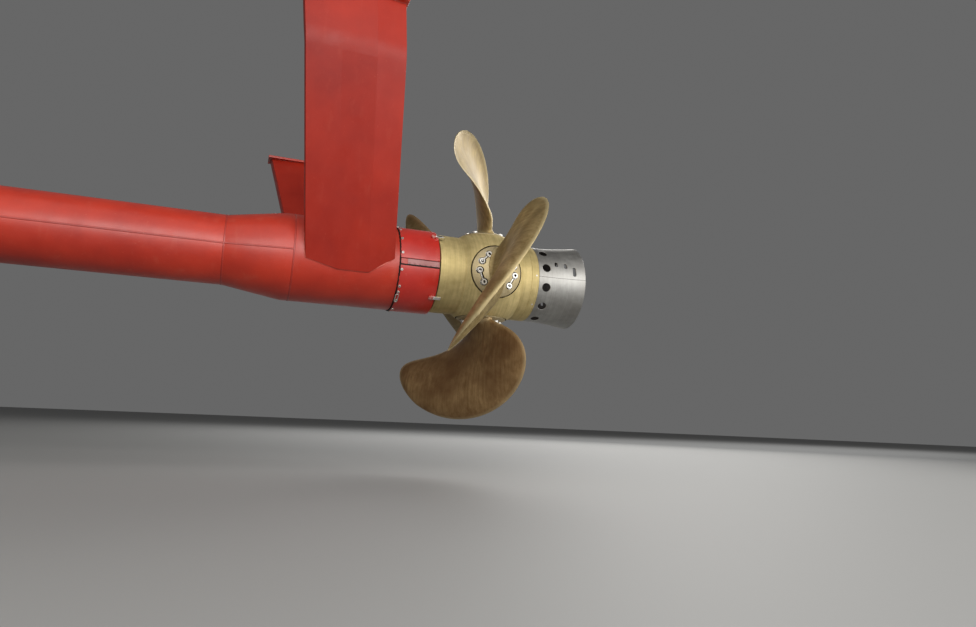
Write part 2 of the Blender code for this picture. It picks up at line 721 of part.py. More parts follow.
def make_arm(name, line, top_z, **stance):
    """Build one strut arm, saddled on the bossing and cut level at its top."""
    length = arm_reach(0.0, top_z=top_z, **stance) + ARM_THICKNESS
    arm = prism(name, arm_section(), length)
    outline = prism(name + "_outline", arm_outline(length + OVERCUT), ARM_THICKNESS + 2 * OVERCUT, CUTTERS)
    outline.data.transform(Matrix.Translation((0.0, ARM_THICKNESS + OVERCUT, 0.0))
                           @ Matrix.Rotation(math.pi / 2, 4, "X"))
    boolean(arm, outline, "INTERSECT")
    drop(outline)
    shape_arm(arm, **stance)
    reach = 2 * PROP_RADIUS
    cut(arm, block(name + "_top", (TUBE_FORWARD_X, -reach, top_z), (reach, reach, top_z + reach), CUTTERS))
    barrel = turned(name + "_saddle", disc_profile(BOSSING_RADIUS + FACE_GAP, 0.0, TUBE_FORWARD_X),
                    SHAFT_SEGMENTS, CUTTERS, closed=False)
    cut(arm, along_shaft(barrel))
    return finish(arm, line, RED_PAINT, 20.0)


def shape_arm(arm, side, lean, turn, sweep):
    """Cut the straight arm across where its head bends, then stand it in place."""
    edit = bmesh.new()
    edit.from_mesh(arm.data)
    for step in range(HEAD_STEPS + 1):
        height = ARM_HEAD_START + ARM_HEAD_BEND * turn * step / HEAD_STEPS
        bmesh.ops.bisect_plane(edit, geom=edit.verts[:] + edit.edges[:] + edit.faces[:],
                               plane_co=(0.0, 0.0, height), plane_no=(0.0, 0.0, 1.0))
    bmesh.ops.triangulate(edit, faces=edit.faces)
    for vert in edit.verts:
        vert.co = arm_place(vert.co, side, lean, turn, sweep)
    bmesh.ops.recalc_face_normals(edit, faces=edit.faces)
    edit.to_mesh(arm.data)
    edit.free()


def arm_top_middle(top_z, **stance):
    """Return the middle of an arm's top, from the propeller's centre."""
    half = ARM_THICKNESS / 2
    reach = arm_reach(half, top_z=top_z, **stance)
    return arm_place((ARM_CHORD / 2, half, reach), **stance)


def make_palm_plate(name, line, top_z, **stance):
    """Build the plate let into the shell on top of an arm."""
    x, y, z = arm_top_middle(top_z, **stance)
    half_x = ARM_HEAD_CHORD / 2 + PALM_PLATE_MARGIN
    half_y = ARM_THICKNESS / 2 / math.cos(stance["lean"] - stance["turn"]) + PALM_PLATE_MARGIN
    low = (x - half_x, y - half_y, z + FACE_GAP)
    high = (x + half_x, y + half_y, z + FACE_GAP + PALM_PLATE_THICKNESS)
    finish(block(name, low, high), line, RED_PAINT)


OUTBOARD = dict(side=-1.0, lean=OUTBOARD_LEAN, turn=OUTBOARD_LEAN, sweep=OUTBOARD_SWEEP,
                top_z=OUTBOARD_TOP_Z)
INBOARD = dict(side=1.0, lean=INBOARD_LEAN, turn=0.0, sweep=INBOARD_SWEEP, top_z=INBOARD_TOP_Z)


def main():
    """Build every piece round the shaft line."""
    x, y, z = arm_top_middle(**OUTBOARD)
    top = z + FACE_GAP + PALM_PLATE_THICKNESS
    line = empty("shaft_line", (-x, -y, -top))
    hub = empty("hub_axis", (0.0, 0.0, 0.0), line)
    make_arm("outboard_arm", line, **OUTBOARD)
    make_arm("inboard_arm", line, **INBOARD)
    make_palm_plate("outboard_palm_plate", line, **OUTBOARD)
    make_palm_plate("inboard_palm_plate", line, **INBOARD)
    make_bossing(line)
    make_cone(line)
    make_tube(line)
    make_bushes(line)
    make_guard(line)
    make_cutters(line)
    make_shaft(hub)
    make_hub(hub)
    make_cap(hub)
    for number in range(1, BLADE_COUNT + 1):
        make_blade(number, hub)
    print("propeller centre", [round(v, 6) for v in (-x, -y, -top)])


main()
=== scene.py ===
# %% [markdown]
# A controllable-pitch ship propeller, hung from its strut arm.
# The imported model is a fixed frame, and this lesson only dresses it with finishes, bolts, welds and rounded
# edges. Every length is in metres, aft is +X, outboard is -Y and up is +Z.

import json
import math

import bmesh
import bpy
from mathutils import Matrix, Vector
from mathutils.kdtree import KDTree


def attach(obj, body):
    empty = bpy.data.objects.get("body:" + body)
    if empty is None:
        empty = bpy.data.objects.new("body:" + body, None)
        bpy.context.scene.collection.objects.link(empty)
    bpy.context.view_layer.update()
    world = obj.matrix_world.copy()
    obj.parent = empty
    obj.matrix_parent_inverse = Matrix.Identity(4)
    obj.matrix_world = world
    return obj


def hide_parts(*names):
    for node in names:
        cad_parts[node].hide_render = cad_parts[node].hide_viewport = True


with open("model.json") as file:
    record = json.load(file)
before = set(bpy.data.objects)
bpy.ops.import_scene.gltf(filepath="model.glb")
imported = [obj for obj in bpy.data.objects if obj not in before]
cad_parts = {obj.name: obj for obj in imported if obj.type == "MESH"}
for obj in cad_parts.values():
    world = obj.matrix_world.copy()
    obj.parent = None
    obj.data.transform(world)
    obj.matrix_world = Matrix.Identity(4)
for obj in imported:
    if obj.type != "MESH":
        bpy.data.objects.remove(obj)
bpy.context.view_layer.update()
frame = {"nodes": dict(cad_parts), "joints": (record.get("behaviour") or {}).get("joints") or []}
spin = next(joint for joint in frame["joints"] if joint["name"] == "shaft_spin")
CENTRE = Vector(spin["pos_m"])
print("propeller centre", tuple(round(v, 4) for v in CENTRE))

# %% [markdown]
# The camera stands where the photo was taken from: outboard of the shaft, ahead of the blades and lower
# than the hub. Its place was found from the curved edges of the hub, guard, cap and tube, which only fit
# one point of view. A camera can be aimed by a constraint, but a fixed matrix is easier to check: its
# three columns say where the picture's right, upward and backward directions point.

# %% Camera
IMAGE_WIDTH = 976
FOCAL_PIXELS = 685.0
SENSOR_WIDTH = 36.0
CAMERA_FROM_CENTRE = Vector((-2.2402, -6.4908, -1.4385))
CAMERA_RIGHT = Vector((0.9388, -0.3421, 0.0405))
CAMERA_FORWARD = Vector((0.3322, 0.9302, 0.1565))
VIEW_REACH = 200.0


def linked(name, data):
    """Put an object with some data into the scene."""
    made = bpy.data.objects.new(name, data)
    bpy.context.scene.collection.objects.link(made)
    return made


camera_data = bpy.data.cameras.new("camera")
camera = linked("camera", camera_data)
forward = CAMERA_FORWARD.normalized()
right = (CAMERA_RIGHT - CAMERA_RIGHT.dot(forward) * forward).normalized()
upward = right.cross(forward)
turn = Matrix((right, upward, -forward)).transposed()
camera.matrix_world = Matrix.Translation(CENTRE + CAMERA_FROM_CENTRE) @ turn.to_4x4()
camera_data.sensor_width = SENSOR_WIDTH
camera_data.lens = FOCAL_PIXELS / IMAGE_WIDTH * SENSOR_WIDTH
camera_data.clip_end = VIEW_REACH
bpy.context.scene.camera = camera
print("camera lens", round(camera_data.lens, 2), "mm")

# %% [markdown]
# The studio is a plain floor under the propeller and five wide soft panels: a strong one low on the outboard
# side, two aft, a weak one above and one over the floor behind. A small hard lamp would leave sharp spots on
# the paint. The strong panel hangs low, because the round pieces carry their highlight at half height and
# not near their top.

# %% Studio
FLOOR_DROP = 1.95
FLOOR_REACH = 90.0
FLOOR_TINT = (0.22, 0.22, 0.215)
FLOOR_ROUGHNESS = 0.7
AIR_TINT = (0.90, 0.90, 0.90)
AIR_STRENGTH = 0.15


def start(name, roughness, metallic):
    """Begin a material and return it with its tree and shader."""
    made = bpy.data.materials.new(name)
    made.use_nodes = True
    tree = made.node_tree
    shader = tree.nodes["Principled BSDF"]
    shader.inputs["Roughness"].default_value = roughness
    shader.inputs["Metallic"].default_value = metallic
    return made, tree, shader


def added(maker, name, **values):
    """Add a mesh with one of Blender's own makers and name it."""
    bpy.ops.object.select_all(action="DESELECT")
    maker(**values)
    piece = bpy.context.object
    piece.name = name
    return piece


def panel_light(name, place, aim, size, power, colour):
    """Hang a wide area light at a place and aim it at a point, both counted from the propeller."""
    data = bpy.data.lights.new(name, "AREA")
    data.shape = "RECTANGLE"
    data.size, data.size_y = size
    data.energy = power
    data.color = colour
    light = linked(name, data)
    light.location = CENTRE + Vector(place)
    light.rotation_euler = (Vector(aim) - Vector(place)).to_track_quat("-Z", "Y").to_euler()


floor_paint, _, floor_shader = start("pale_floor", FLOOR_ROUGHNESS, 0.0)
floor_shader.inputs["Base Color"].default_value = (*FLOOR_TINT, 1.0)
floor = added(bpy.ops.mesh.primitive_circle_add, "studio_floor", vertices=128, radius=FLOOR_REACH,
              fill_type="NGON", location=CENTRE - Vector((0.0, 0.0, FLOOR_DROP)))
floor.data.materials.append(floor_paint)
panel_light("sky_outboard", (-0.5, -10.5, 2.8), (-0.5, 0.0, 0.0), (16.0, 5.2), 1400.0, (1.0, 0.99, 0.97))
panel_light("floor_wash", (13.0, 15.0, 5.0), (13.0, 15.0, -1.9), (30.0, 12.0), 1600.0, (1.0, 1.0, 1.0))
panel_light("sky_aft", (9.5, -5.0, 2.6), (0.2, 0.0, 0.3), (8.0, 7.0), 620.0, (1.0, 0.98, 0.95))
panel_light("sky_inboard", (9.4, 10.4, 6.2), (0.0, 0.0, 0.4), (9.0, 7.0), 1300.0, (1.0, 0.98, 0.95))
panel_light("sky_above", (-3.0, -6.5, 8.0), (-0.5, 0.0, 0.0), (12.0, 8.0), 240.0, (1.0, 0.99, 0.98))
world = bpy.data.worlds.new("studio_air")
world.use_nodes = True
air = world.node_tree.nodes["Background"]
air.inputs["Color"].default_value = (*AIR_TINT, 1.0)
air.inputs["Strength"].default_value = AIR_STRENGTH
bpy.context.scene.world = world
bpy.context.scene.view_settings.view_transform = "Standard"
print("studio ready, with a floor", FLOOR_DROP, "m below the shaft")

# %% [markdown]
# Pieces are shaped with Blender's own edit-mode tools. The same few moves come back for each piece: pick
# it, open it for editing, select by place, and apply a modifier. They are written here once.

# %% Working habits
def pick(piece):
    """Select one object alone and make it the active one."""
    bpy.ops.object.select_all(action="DESELECT")
    piece.select_set(True)
    bpy.context.view_layer.objects.active = piece
    return piece


def open_edit(piece, kind="VERT", action="DESELECT"):
    """Open a piece in edit mode with nothing selected, or with all of it."""
    pick(piece)
    bpy.ops.object.mode_set(mode="EDIT")
    bpy.ops.mesh.select_mode(type=kind)
    bpy.ops.mesh.select_all(action=action)


def close_edit():
    """Go back to object mode."""
    bpy.ops.object.mode_set(mode="OBJECT")


def choose(piece, kind, test):
    """Select the verts, edges or faces of an open piece that pass a test, and count them."""
    shape = bmesh.from_edit_mesh(piece.data)
    chosen = [item for item in getattr(shape, kind) if test(item)]
    for item in chosen:
        item.select_set(True)
    bmesh.update_edit_mesh(piece.data)
    return len(chosen)


def put(piece, place):
    """Move a piece by a matrix and bring its place into its mesh."""
    piece.matrix_world = place @ piece.matrix_world
    pick(piece)
    bpy.ops.object.transform_apply()
    return piece


def copy_to(master, name, place):
    """Copy a master with its own mesh to a place."""
    return put(linked(name, master.data.copy()), place)


def remove(piece):
    """Remove a master or helper."""
    bpy.data.objects.remove(piece, do_unlink=True)


def modify(piece, kind, **values):
    """Add one modifier, set it and apply it."""
    pick(piece)
    bpy.ops.object.modifier_add(type=kind)
    step = piece.modifiers[-1]
    for name, value in values.items():
        setattr(step, name, value)
    bpy.ops.object.modifier_apply(modifier=step.name)
    return piece


def smooth(piece, degrees=30.0):
    """Shade a piece smooth, but keep edges sharper than an angle."""
    pick(piece)
    bpy.ops.object.shade_smooth_by_angle(angle=math.radians(degrees))
    return piece


FACING_AFT = Matrix.Rotation(math.pi / 2, 4, "Y")
ALONG_SHAFT = Matrix.Translation(CENTRE) @ FACING_AFT
print("pieces that stand on Z are laid along the shaft by this turn:", ALONG_SHAFT.to_euler())

# %% [markdown]
# Most of this object is turned round the shaft line. A lathe shape can come from a Screw modifier or from
# Spin. Here a circle is extruded and resized from ring to ring, which shows plainly which radius belongs
# to which place.

# %% Turned pieces
def lathe(name, rings, segments, closed=False):
    """Turn a piece about Z through (radius, height) rings, capped or closed into a wall."""
    radius, height = rings[0]
    piece = added(bpy.ops.mesh.primitive_circle_add, name, vertices=segments, radius=radius,
                  location=(0.0, 0.0, height))
    bpy.ops.object.transform_apply()
    open_edit(piece, action="SELECT")
    for (r0, z0), (r1, z1) in zip(rings, rings[1:]):
        bpy.ops.mesh.extrude_region_move(TRANSFORM_OT_translate={"value": (0.0, 0.0, z1 - z0)})
        bpy.ops.transform.resize(value=(r1 / r0, r1 / r0, 1.0), center_override=(0.0, 0.0, z1))
    bpy.ops.mesh.select_mode(type="EDGE")
    bpy.ops.mesh.select_all(action="DESELECT")
    bpy.ops.mesh.select_non_manifold()
    if closed:
        bpy.ops.mesh.bridge_edge_loops()
    else:
        bpy.ops.mesh.fill_holes(sides=0)
    bpy.ops.mesh.select_all(action="SELECT")
    bpy.ops.mesh.normals_make_consistent(inside=False)
    close_edit()
    return piece


def coat(piece, finish, second=None, test=None):
    """Give a piece one finish all over, and a second one on the faces that pass a test."""
    piece.data.materials.clear()
    piece.data.materials.append(finish)
    if second:
        piece.data.materials.append(second)
    for face in piece.data.polygons:
        face.material_index = 1 if second and test(face) else 0
    return piece


def hand_over(piece, body, slot, finish, *nodes):
    """Give a finished piece its material and its body, and hide the nodes that it stands for. The slot is not
    used.
    """
    if finish:
        coat(piece, finish)
    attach(piece, body)
    if nodes:
        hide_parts(*nodes)
    print("made", piece.name, "with", len(piece.data.polygons), "faces")
    return piece


print("ready: lathe, coat and hand_over")

# %% [markdown]
# Every finish is a short tree of nodes: noise at several sizes drives the colour, the roughness and a
# shallow bump. Layered image textures could do the same, but noise has no seams and no edges. The steps
# that all the trees share are written here once.

# %% Material bench
def join(socket, value):
    """Link a socket to another one, or give it a plain value."""
    if isinstance(value, bpy.types.NodeSocket):
        socket.id_data.links.new(value, socket)
    else:
        socket.default_value = value


def add_node(tree, kind, **values):
    """Add a node, and link or set each of its named inputs."""
    made = tree.nodes.new("ShaderNode" + kind)
    for name, value in values.items():
        join(made.inputs[name], value)
    return made


def place_on(tree, stretch=(1.0, 1.0, 1.0)):
    """Return object coordinates centred on the propeller, stretched where a grain runs."""
    place = add_node(tree, "TexCoord").outputs["Object"]
    shift = tuple(-c * s for c, s in zip(CENTRE, stretch))
    return add_node(tree, "Mapping", Vector=place, Location=shift, Scale=stretch).outputs["Vector"]


def noise(place, scale, detail=4.0, rough=0.55):
    """Return a noise value at a scale."""
    made = add_node(place.id_data, "TexNoise", Vector=place, Scale=scale, Detail=detail, Roughness=rough)
    return made.outputs["Fac"]


def ramp(value, stops):
    """Return a colour or grey ramp of a value, given as (place, colour) stops."""
    made = add_node(value.id_data, "ValToRGB", Fac=value)
    bar = made.color_ramp
    while len(bar.elements) < len(stops):
        bar.elements.new(0.5)
    for element, (place, colour) in zip(bar.elements, stops):
        element.position = place
        element.color = (*colour, 1.0) if len(colour) == 3 else (colour[0],) * 3 + (1.0,)
    return made.outputs["Color"]


def blend(share, low, high):
    """Mix two colours by a share, where each may be a socket or a plain value."""
    made = add_node(share.id_data, "Mix")
    made.data_type = "RGBA"
    for name, value in (("Factor", share), ("A", low), ("B", high)):
        join(made.inputs[name], (*value, 1.0) if isinstance(value, tuple) else value)
    return made.outputs["Result"]


def reckon(kind, first, second):
    """Return two values added, multiplied, subtracted or compared."""
    made = add_node(first.id_data, "Math")
    made.operation = kind
    join(made.inputs[0], first)
    join(made.inputs[1], second)
    return made.outputs["Value"]


def relief(shader, height, strength, distance):
    """Press a height into the shader's normal."""
    made = add_node(shader.id_data, "Bump", Height=height, Strength=strength, Distance=distance)
    join(shader.inputs["Normal"], made.outputs["Normal"])


def grey(low, high, first=0.3, last=0.7):
    """Return ramp stops that spread a value between two greys, from a first place to a last one."""
    return [(first, (low,)), (last, (high,))]


print("ready: noise, ramp, blend, reckon and relief")

# %% [markdown]
# Red antifouling paint covers the strut. It was sprayed over steel, so it has a fine orange-peel skin, and
# salt has made it chalky in patches, with faint runs and small knocks. The same recipe in other reds gives
# the guard and the joint strips. The arms and the welds get darker copies of the strut's red, as painted
# shade, and the foot welds a paler, pinker copy, as a painted highlight.

# %% Red paint
def red_paint(name, deep, fresh, chalk, ripple=9.0, shine=0.5, varnish=0.30):
    """Satin antifouling paint: patches, faint runs, chalky bloom and orange peel."""
    made, tree, shader = start(name, 0.42, 0.0)
    place = place_on(tree)
    patches = ramp(noise(place, 1.7, 5.0), [(0.32, deep), (0.68, fresh)])
    runs = noise(place_on(tree, (9.0, 9.0, 0.7)), 1.6, 3.0)
    streaked = blend(ramp(runs, grey(0.0, 0.30, 0.58, 0.80)), patches, chalk)
    specks = noise(place, 55.0, 2.0)
    worn = blend(ramp(specks, grey(0.0, 0.45, 0.67, 0.75)), streaked, chalk)
    tree.links.new(worn, shader.inputs["Base Color"])
    tree.links.new(ramp(noise(place, 6.0, 6.0), grey(0.36, 0.52)), shader.inputs["Roughness"])
    peel = reckon("ADD", noise(place, 140.0, 2.0), noise(place, ripple, 3.0))
    relief(shader, peel, 0.22, 0.002)
    shader.inputs["Specular IOR Level"].default_value = shine
    shader.inputs["Coat Weight"].default_value = varnish
    shader.inputs["Coat Roughness"].default_value = 0.32
    return made


STRUT_PAINT = red_paint("strut_red_paint", (0.33, 0.014, 0.004), (0.50, 0.030, 0.008), (0.47, 0.085, 0.050))
# The arms' red is a darker copy of the strut's red: painted shade.
SHADED_ARM_PAINT = red_paint("arm_red_paint", (0.24, 0.011, 0.005), (0.34, 0.020, 0.008), (0.36, 0.050, 0.030),
                      shine=0.22, varnish=0.05)
GUARD_PAINT = red_paint("guard_red_paint", (0.38, 0.012, 0.007), (0.56, 0.026, 0.013), (0.52, 0.10, 0.07))
STRIP_PAINT = red_paint("strip_red_paint", (0.24, 0.05, 0.045), (0.44, 0.15, 0.14), (0.40, 0.30, 0.29), 30.0)
# The welds' red is a darker copy of the strut's: painted shade for the dark lines beside each bead.
SHADED_WELD_PAINT = red_paint("weld_red_paint", (0.25, 0.011, 0.005), (0.38, 0.024, 0.010), (0.50, 0.14, 0.10),
                       ripple=70.0)
# The foot welds' red is a paler, pinker copy: a painted highlight for the sheen along the bead.
FOOT_WELD_SHEEN_PAINT = red_paint("foot_weld_paint", (0.46, 0.060, 0.035), (0.62, 0.13, 0.09), (0.60, 0.28, 0.23),
                       ripple=70.0)
print("paints", STRUT_PAINT.name, SHADED_ARM_PAINT.name, GUARD_PAINT.name, STRIP_PAINT.name, SHADED_WELD_PAINT.name)

# %% [markdown]
# The hub is turned bronze. The lathe leaves fine rings round the shaft line, and salt leaves a patchy
# olive tarnish on them. Rings round X are a noise that is stretched thin along X and wide across, so they
# follow the turned shape without any seam.

# %% Bronze and steel
def turned_metal(name, dark, bright, roughness, ring_scale, tarnish, metallic=1.0):
    """Turned metal: thin rings round the shaft line under mottled patches of tarnish."""
    made, tree, shader = start(name, roughness, metallic)
    rings = noise(place_on(tree, (ring_scale, 0.6, 0.6)), 1.0, 3.0, 0.7)
    patches = noise(place_on(tree), 2.6, 6.0, 0.6)
    mottle = noise(place_on(tree), 17.0, 5.0, 0.65)
    grain = reckon("MULTIPLY", reckon("ADD", rings, mottle), 0.5)
    base = blend(ramp(grain, grey(0.0, 1.0, 0.36, 0.64)), dark, bright)
    aged = blend(ramp(patches, grey(0.0, 0.75, 0.40, 0.72)), base, tarnish)
    tree.links.new(aged, shader.inputs["Base Color"])
    rough = blend(mottle, (roughness - 0.07,) * 3, (roughness + 0.15,) * 3)
    tree.links.new(rough, shader.inputs["Roughness"])
    relief(shader, grain, 0.12, 0.001)
    return made


HUB_BRONZE = turned_metal("hub_turned_bronze", (0.47, 0.375, 0.160), (0.68, 0.555, 0.28), 0.60, 60.0,
                          (0.34, 0.27, 0.110), 0.72)
PALM_BRONZE = turned_metal("palm_turned_bronze", (0.37, 0.30, 0.165), (0.52, 0.43, 0.26), 0.52, 20.0,
                           (0.29, 0.225, 0.115), 0.78)
STAINLESS = turned_metal("brushed_stainless", (0.30, 0.297, 0.285), (0.44, 0.435, 0.415), 0.47, 150.0,
                         (0.24, 0.228, 0.210))
SHAFT_STEEL = turned_metal("ground_shaft_steel", (0.25, 0.25, 0.26), (0.42, 0.42, 0.43), 0.34, 200.0,
                           (0.22, 0.17, 0.13))
BUSH_METAL = turned_metal("bush_bronze", (0.38, 0.29, 0.14), (0.52, 0.41, 0.22), 0.42, 120.0,
                          (0.24, 0.19, 0.10))
BOLT_STEEL = turned_metal("bolt_steel", (0.52, 0.51, 0.48), (0.74, 0.73, 0.70), 0.36, 40.0,
                          (0.42, 0.39, 0.34), 0.60)


def shade_and_grease(name, dark, light):
    """Painted shade for insides, hollows and seams, with some grease and stain: dull, dark and uneven."""
    made, tree, shader = start(name, 0.7, 0.0)
    place = place_on(tree)
    tree.links.new(ramp(noise(place, 5.0, 6.0), [(0.35, dark), (0.70, light)]),
                   shader.inputs["Base Color"])
    tree.links.new(ramp(noise(place, 21.0, 3.0), grey(0.55, 0.85)), shader.inputs["Roughness"])
    relief(shader, noise(place, 60.0, 4.0), 0.3, 0.002)
    shader.inputs["Specular IOR Level"].default_value = 0.18
    return made


# Painted shade: this near-black goes where shade falls, on insides, port walls, bolt pockets, sockets and
# seams. In the bolt pockets it also stands for some grime.
PAINTED_SHADE_AND_GRIME = shade_and_grease("stained_inside", (0.004, 0.003, 0.003), (0.020, 0.014, 0.011))
PAINT_EDGE = -0.585
PAINT_RAGGED = 0.012


def painted_tip(name, paint, bright):
    """Cutter steel that was painted over up to where the hub begins, with a ragged edge."""
    made, tree, shader = start(name, 0.35, 0.0)
    place = place_on(tree)
    along = add_node(tree, "SeparateXYZ", Vector=place).outputs["X"]
    ragged = reckon("MULTIPLY", noise(place, 60.0, 3.0), PAINT_RAGGED)
    edge = reckon("GREATER_THAN", reckon("ADD", along, ragged), PAINT_EDGE)
    # The paint at the foot is mottled towards a pale pink.
    pink_mottled = ramp(noise(place, 30.0, 5.0), [(0.42, paint), (0.62, (0.52, 0.30, 0.26))])
    tree.links.new(blend(edge, pink_mottled, bright), shader.inputs["Base Color"])
    tree.links.new(edge, shader.inputs["Metallic"])
    relief(shader, noise(place, 90.0, 3.0), 0.2, 0.001)
    return made


CUTTER_STEEL = painted_tip("cutter_steel", (0.42, 0.030, 0.022), (0.80, 0.79, 0.76))
print("metals", HUB_BRONZE.name, STAINLESS.name, SHAFT_STEEL.name, BUSH_METAL.name, CUTTER_STEEL.name)

# %% [markdown]
# A blade is ground by hand, root to tip, and salt browns its middle more than its edges. The finish
# needs to know where it is on a blade, whichever way that blade points. So each foil carries two values of
# its own at its points: where it lies in the blade's frame, and how far it is from the blade's edge.

# %% Blade bronze
OWN_PLACE = "own_place"
EDGE_REACH = "edge_reach"
EDGE_BAND = 0.10
GRIND_STRETCH = (22.0, 22.0, 1.6)


def carried(tree, name):
    """Return the node that reads a value which the mesh carries at its points."""
    made = add_node(tree, "Attribute")
    made.attribute_name = name
    return made


def ground_bronze(name, dark, bright, tarnish, rim):
    """Blade bronze: ground along the span, browned by salt, paler at the rim."""
    made, tree, shader = start(name, 0.6, 0.72)
    own = carried(tree, OWN_PLACE).outputs["Vector"]
    along = add_node(tree, "Mapping", Vector=own, Scale=GRIND_STRETCH).outputs["Vector"]
    strokes = noise(along, 1.6, 5.0, 0.65)
    mottle = noise(place_on(tree), 9.0, 6.0, 0.65)
    patches = noise(place_on(tree), 2.1, 6.0, 0.6)
    grain = reckon("MULTIPLY", reckon("ADD", strokes, mottle), 0.5)
    base = blend(ramp(grain, grey(0.0, 1.0, 0.38, 0.64)), dark, bright)
    aged = blend(ramp(patches, grey(0.1, 0.9, 0.36, 0.64)), base, tarnish)
    reach = reckon("ADD", carried(tree, EDGE_REACH).outputs["Fac"],
                   reckon("MULTIPLY", reckon("SUBTRACT", mottle, 0.5), 0.12))
    rimmed = blend(ramp(reach, grey(0.75, 0.0, 0.06, 0.40)), aged, rim)
    tree.links.new(rimmed, shader.inputs["Base Color"])
    tree.links.new(ramp(mottle, grey(0.52, 0.70)), shader.inputs["Roughness"])
    relief(shader, grain, 0.16, 0.0015)
    return made


# All four blades are one bronze. The first copy below is lightened as painted light for the blades that face
# the light, and the second is darkened as painted shade for the lowest blade.
LIT_BLADE_BRONZE = ground_bronze("blade_olive_bronze", (0.30, 0.215, 0.085), (0.60, 0.47, 0.235),
                             (0.22, 0.155, 0.062), (0.60, 0.50, 0.285))
SHADED_BLADE_BRONZE = ground_bronze("blade_brown_bronze", (0.24, 0.135, 0.052), (0.46, 0.31, 0.145),
                             (0.17, 0.085, 0.032), (0.50, 0.38, 0.21))
print("blade finishes", LIT_BLADE_BRONZE.name, SHADED_BLADE_BRONZE.name)

# %% [markdown]
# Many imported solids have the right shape, but their edges are knife sharp, and no real edge is. Each is
# copied, its triangles are merged into one skin, flat areas are dissolved into whole faces, and a Bevel
# rounds the edges by a few millimetres so that they catch the light.

# %% Rounded copies of the plain pieces
MERGE_DISTANCE = 0.0001
EDGE_STEPS = 3


def merged_copy(node, name):
    """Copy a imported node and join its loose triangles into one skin."""
    piece = linked(name, frame["nodes"][node].data.copy())
    open_edit(piece, action="SELECT")
    bpy.ops.mesh.remove_doubles(threshold=MERGE_DISTANCE)
    close_edit()
    return piece


def rounded_copy(node, width, limit=25.0, flat=1.0, shading=30.0):
    """Copy a node, dissolve its flat faces and round the edges that are sharper than a limit."""
    piece = merged_copy(node, node + "_dressed")
    open_edit(piece, action="SELECT")
    bpy.ops.mesh.dissolve_limited(angle_limit=math.radians(flat))
    close_edit()
    modify(piece, "BEVEL", width=width, segments=EDGE_STEPS, limit_method="ANGLE",
           angle_limit=math.radians(limit))
    return smooth(piece, shading)


PLAIN_PIECES = (
    (STRUT_PAINT, "strut", "red_paint", 0.004, ("outboard_palm_plate", "inboard_palm_plate")),
    (STRUT_PAINT, "strut", "red_paint", 0.004, ("strut_bossing",)),
    (STRUT_PAINT, "strut", "red_paint", 0.003, ("bossing_cone", "shaft_tube")),
    (GUARD_PAINT, "strut", "guard_paint", 0.003, ("rope_guard_upper", "rope_guard_lower")),
    (STRIP_PAINT, "strut", "guard_paint", 0.002, ("guard_joint_outboard", "guard_joint_inboard")),
    (BUSH_METAL, "strut", "bush_metal", 0.002, ("strut_bearing_bush", "tube_bearing_bush")),
    (SHAFT_STEEL, "hub", "shaft_steel", 0.004, ("propeller_shaft",)),
    (HUB_BRONZE, "hub", "hub_bronze", 0.003, ("hub_end_cap",)),
)
for finish, body, slot, width, nodes in PLAIN_PIECES:
    for node in nodes:
        hand_over(rounded_copy(node, width), body, slot, finish, node)

# %% [markdown]
# The strut arms are plated foils: flat sides with soft knuckles between them. Most knuckles turn by only one
# to eight degrees and stay as they are. The bevel takes what is sharper, and is wider here than elsewhere.

# %% Strut arms
ARM_ROUNDING = 0.006
# The arms get the darker red copy as painted shade.
for node in ("outboard_arm", "inboard_arm"):
    arm = rounded_copy(node, ARM_ROUNDING, limit=8.0, flat=0.5, shading=7.0)
    hand_over(arm, "strut", "red_paint", SHADED_ARM_PAINT, node)

# %% [markdown]
# The hub is a ball between two short barrels, with a round port for each blade. It is turned again here in
# finer steps, and the ports are cut with a stepped cutter whose upper part flares, so that each port gets
# its small chamfer in the same cut.

# %% Hub
HUB_SEGMENTS = 192
HUB_BALL_RADIUS = 0.485
HUB_BARREL_RADIUS = 0.387
HUB_FORWARD_REACH = 0.550
HUB_CYLINDER_REACH = 0.300
HUB_COVER_REACH = 0.390
HUB_AFT_REACH = 0.466
JOINT_GROOVE = 0.002
BALL_STEPS = 40
PORT_RADIUS = 0.256
SEAT_HEIGHT = 0.3597
PORT_CHAMFER = 0.008
PORT_SLACK = 0.001
BALL_FACING = 0.95
BLADE_NAMES = ("blade_1", "blade_2", "blade_3", "blade_4")


def hub_disc(node, low, high):
    """Turn one of the hub's plain barrels with its two edges eased, and hand it over."""
    eased = HUB_BARREL_RADIUS - JOINT_GROOVE
    rings = [(eased, low), (HUB_BARREL_RADIUS, low + JOINT_GROOVE),
             (HUB_BARREL_RADIUS, high - JOINT_GROOVE), (eased, high)]
    disc = smooth(put(lathe(node + "_dressed", rings, HUB_SEGMENTS), ALONG_SHAFT))
    hand_over(disc, "hub", "hub_bronze", HUB_BRONZE, node)


def ball_height(distance):
    """Return how high the ball stands at a distance from its middle line."""
    return math.sqrt(HUB_BALL_RADIUS ** 2 - distance ** 2)


def ball_rings():
    """Return the hub body's outer rings: barrel, ball, barrel."""
    meet = ball_height(HUB_BARREL_RADIUS)
    rings = [(HUB_BARREL_RADIUS - JOINT_GROOVE, -HUB_CYLINDER_REACH),
             (HUB_BARREL_RADIUS, JOINT_GROOVE - HUB_CYLINDER_REACH)]
    for step in range(BALL_STEPS + 1):
        along = meet * (2 * step / BALL_STEPS - 1)
        rings.append((ball_height(along), along))
    rings.append((HUB_BARREL_RADIUS, HUB_COVER_REACH - JOINT_GROOVE))
    rings.append((HUB_BARREL_RADIUS - JOINT_GROOVE, HUB_COVER_REACH))
    return rings


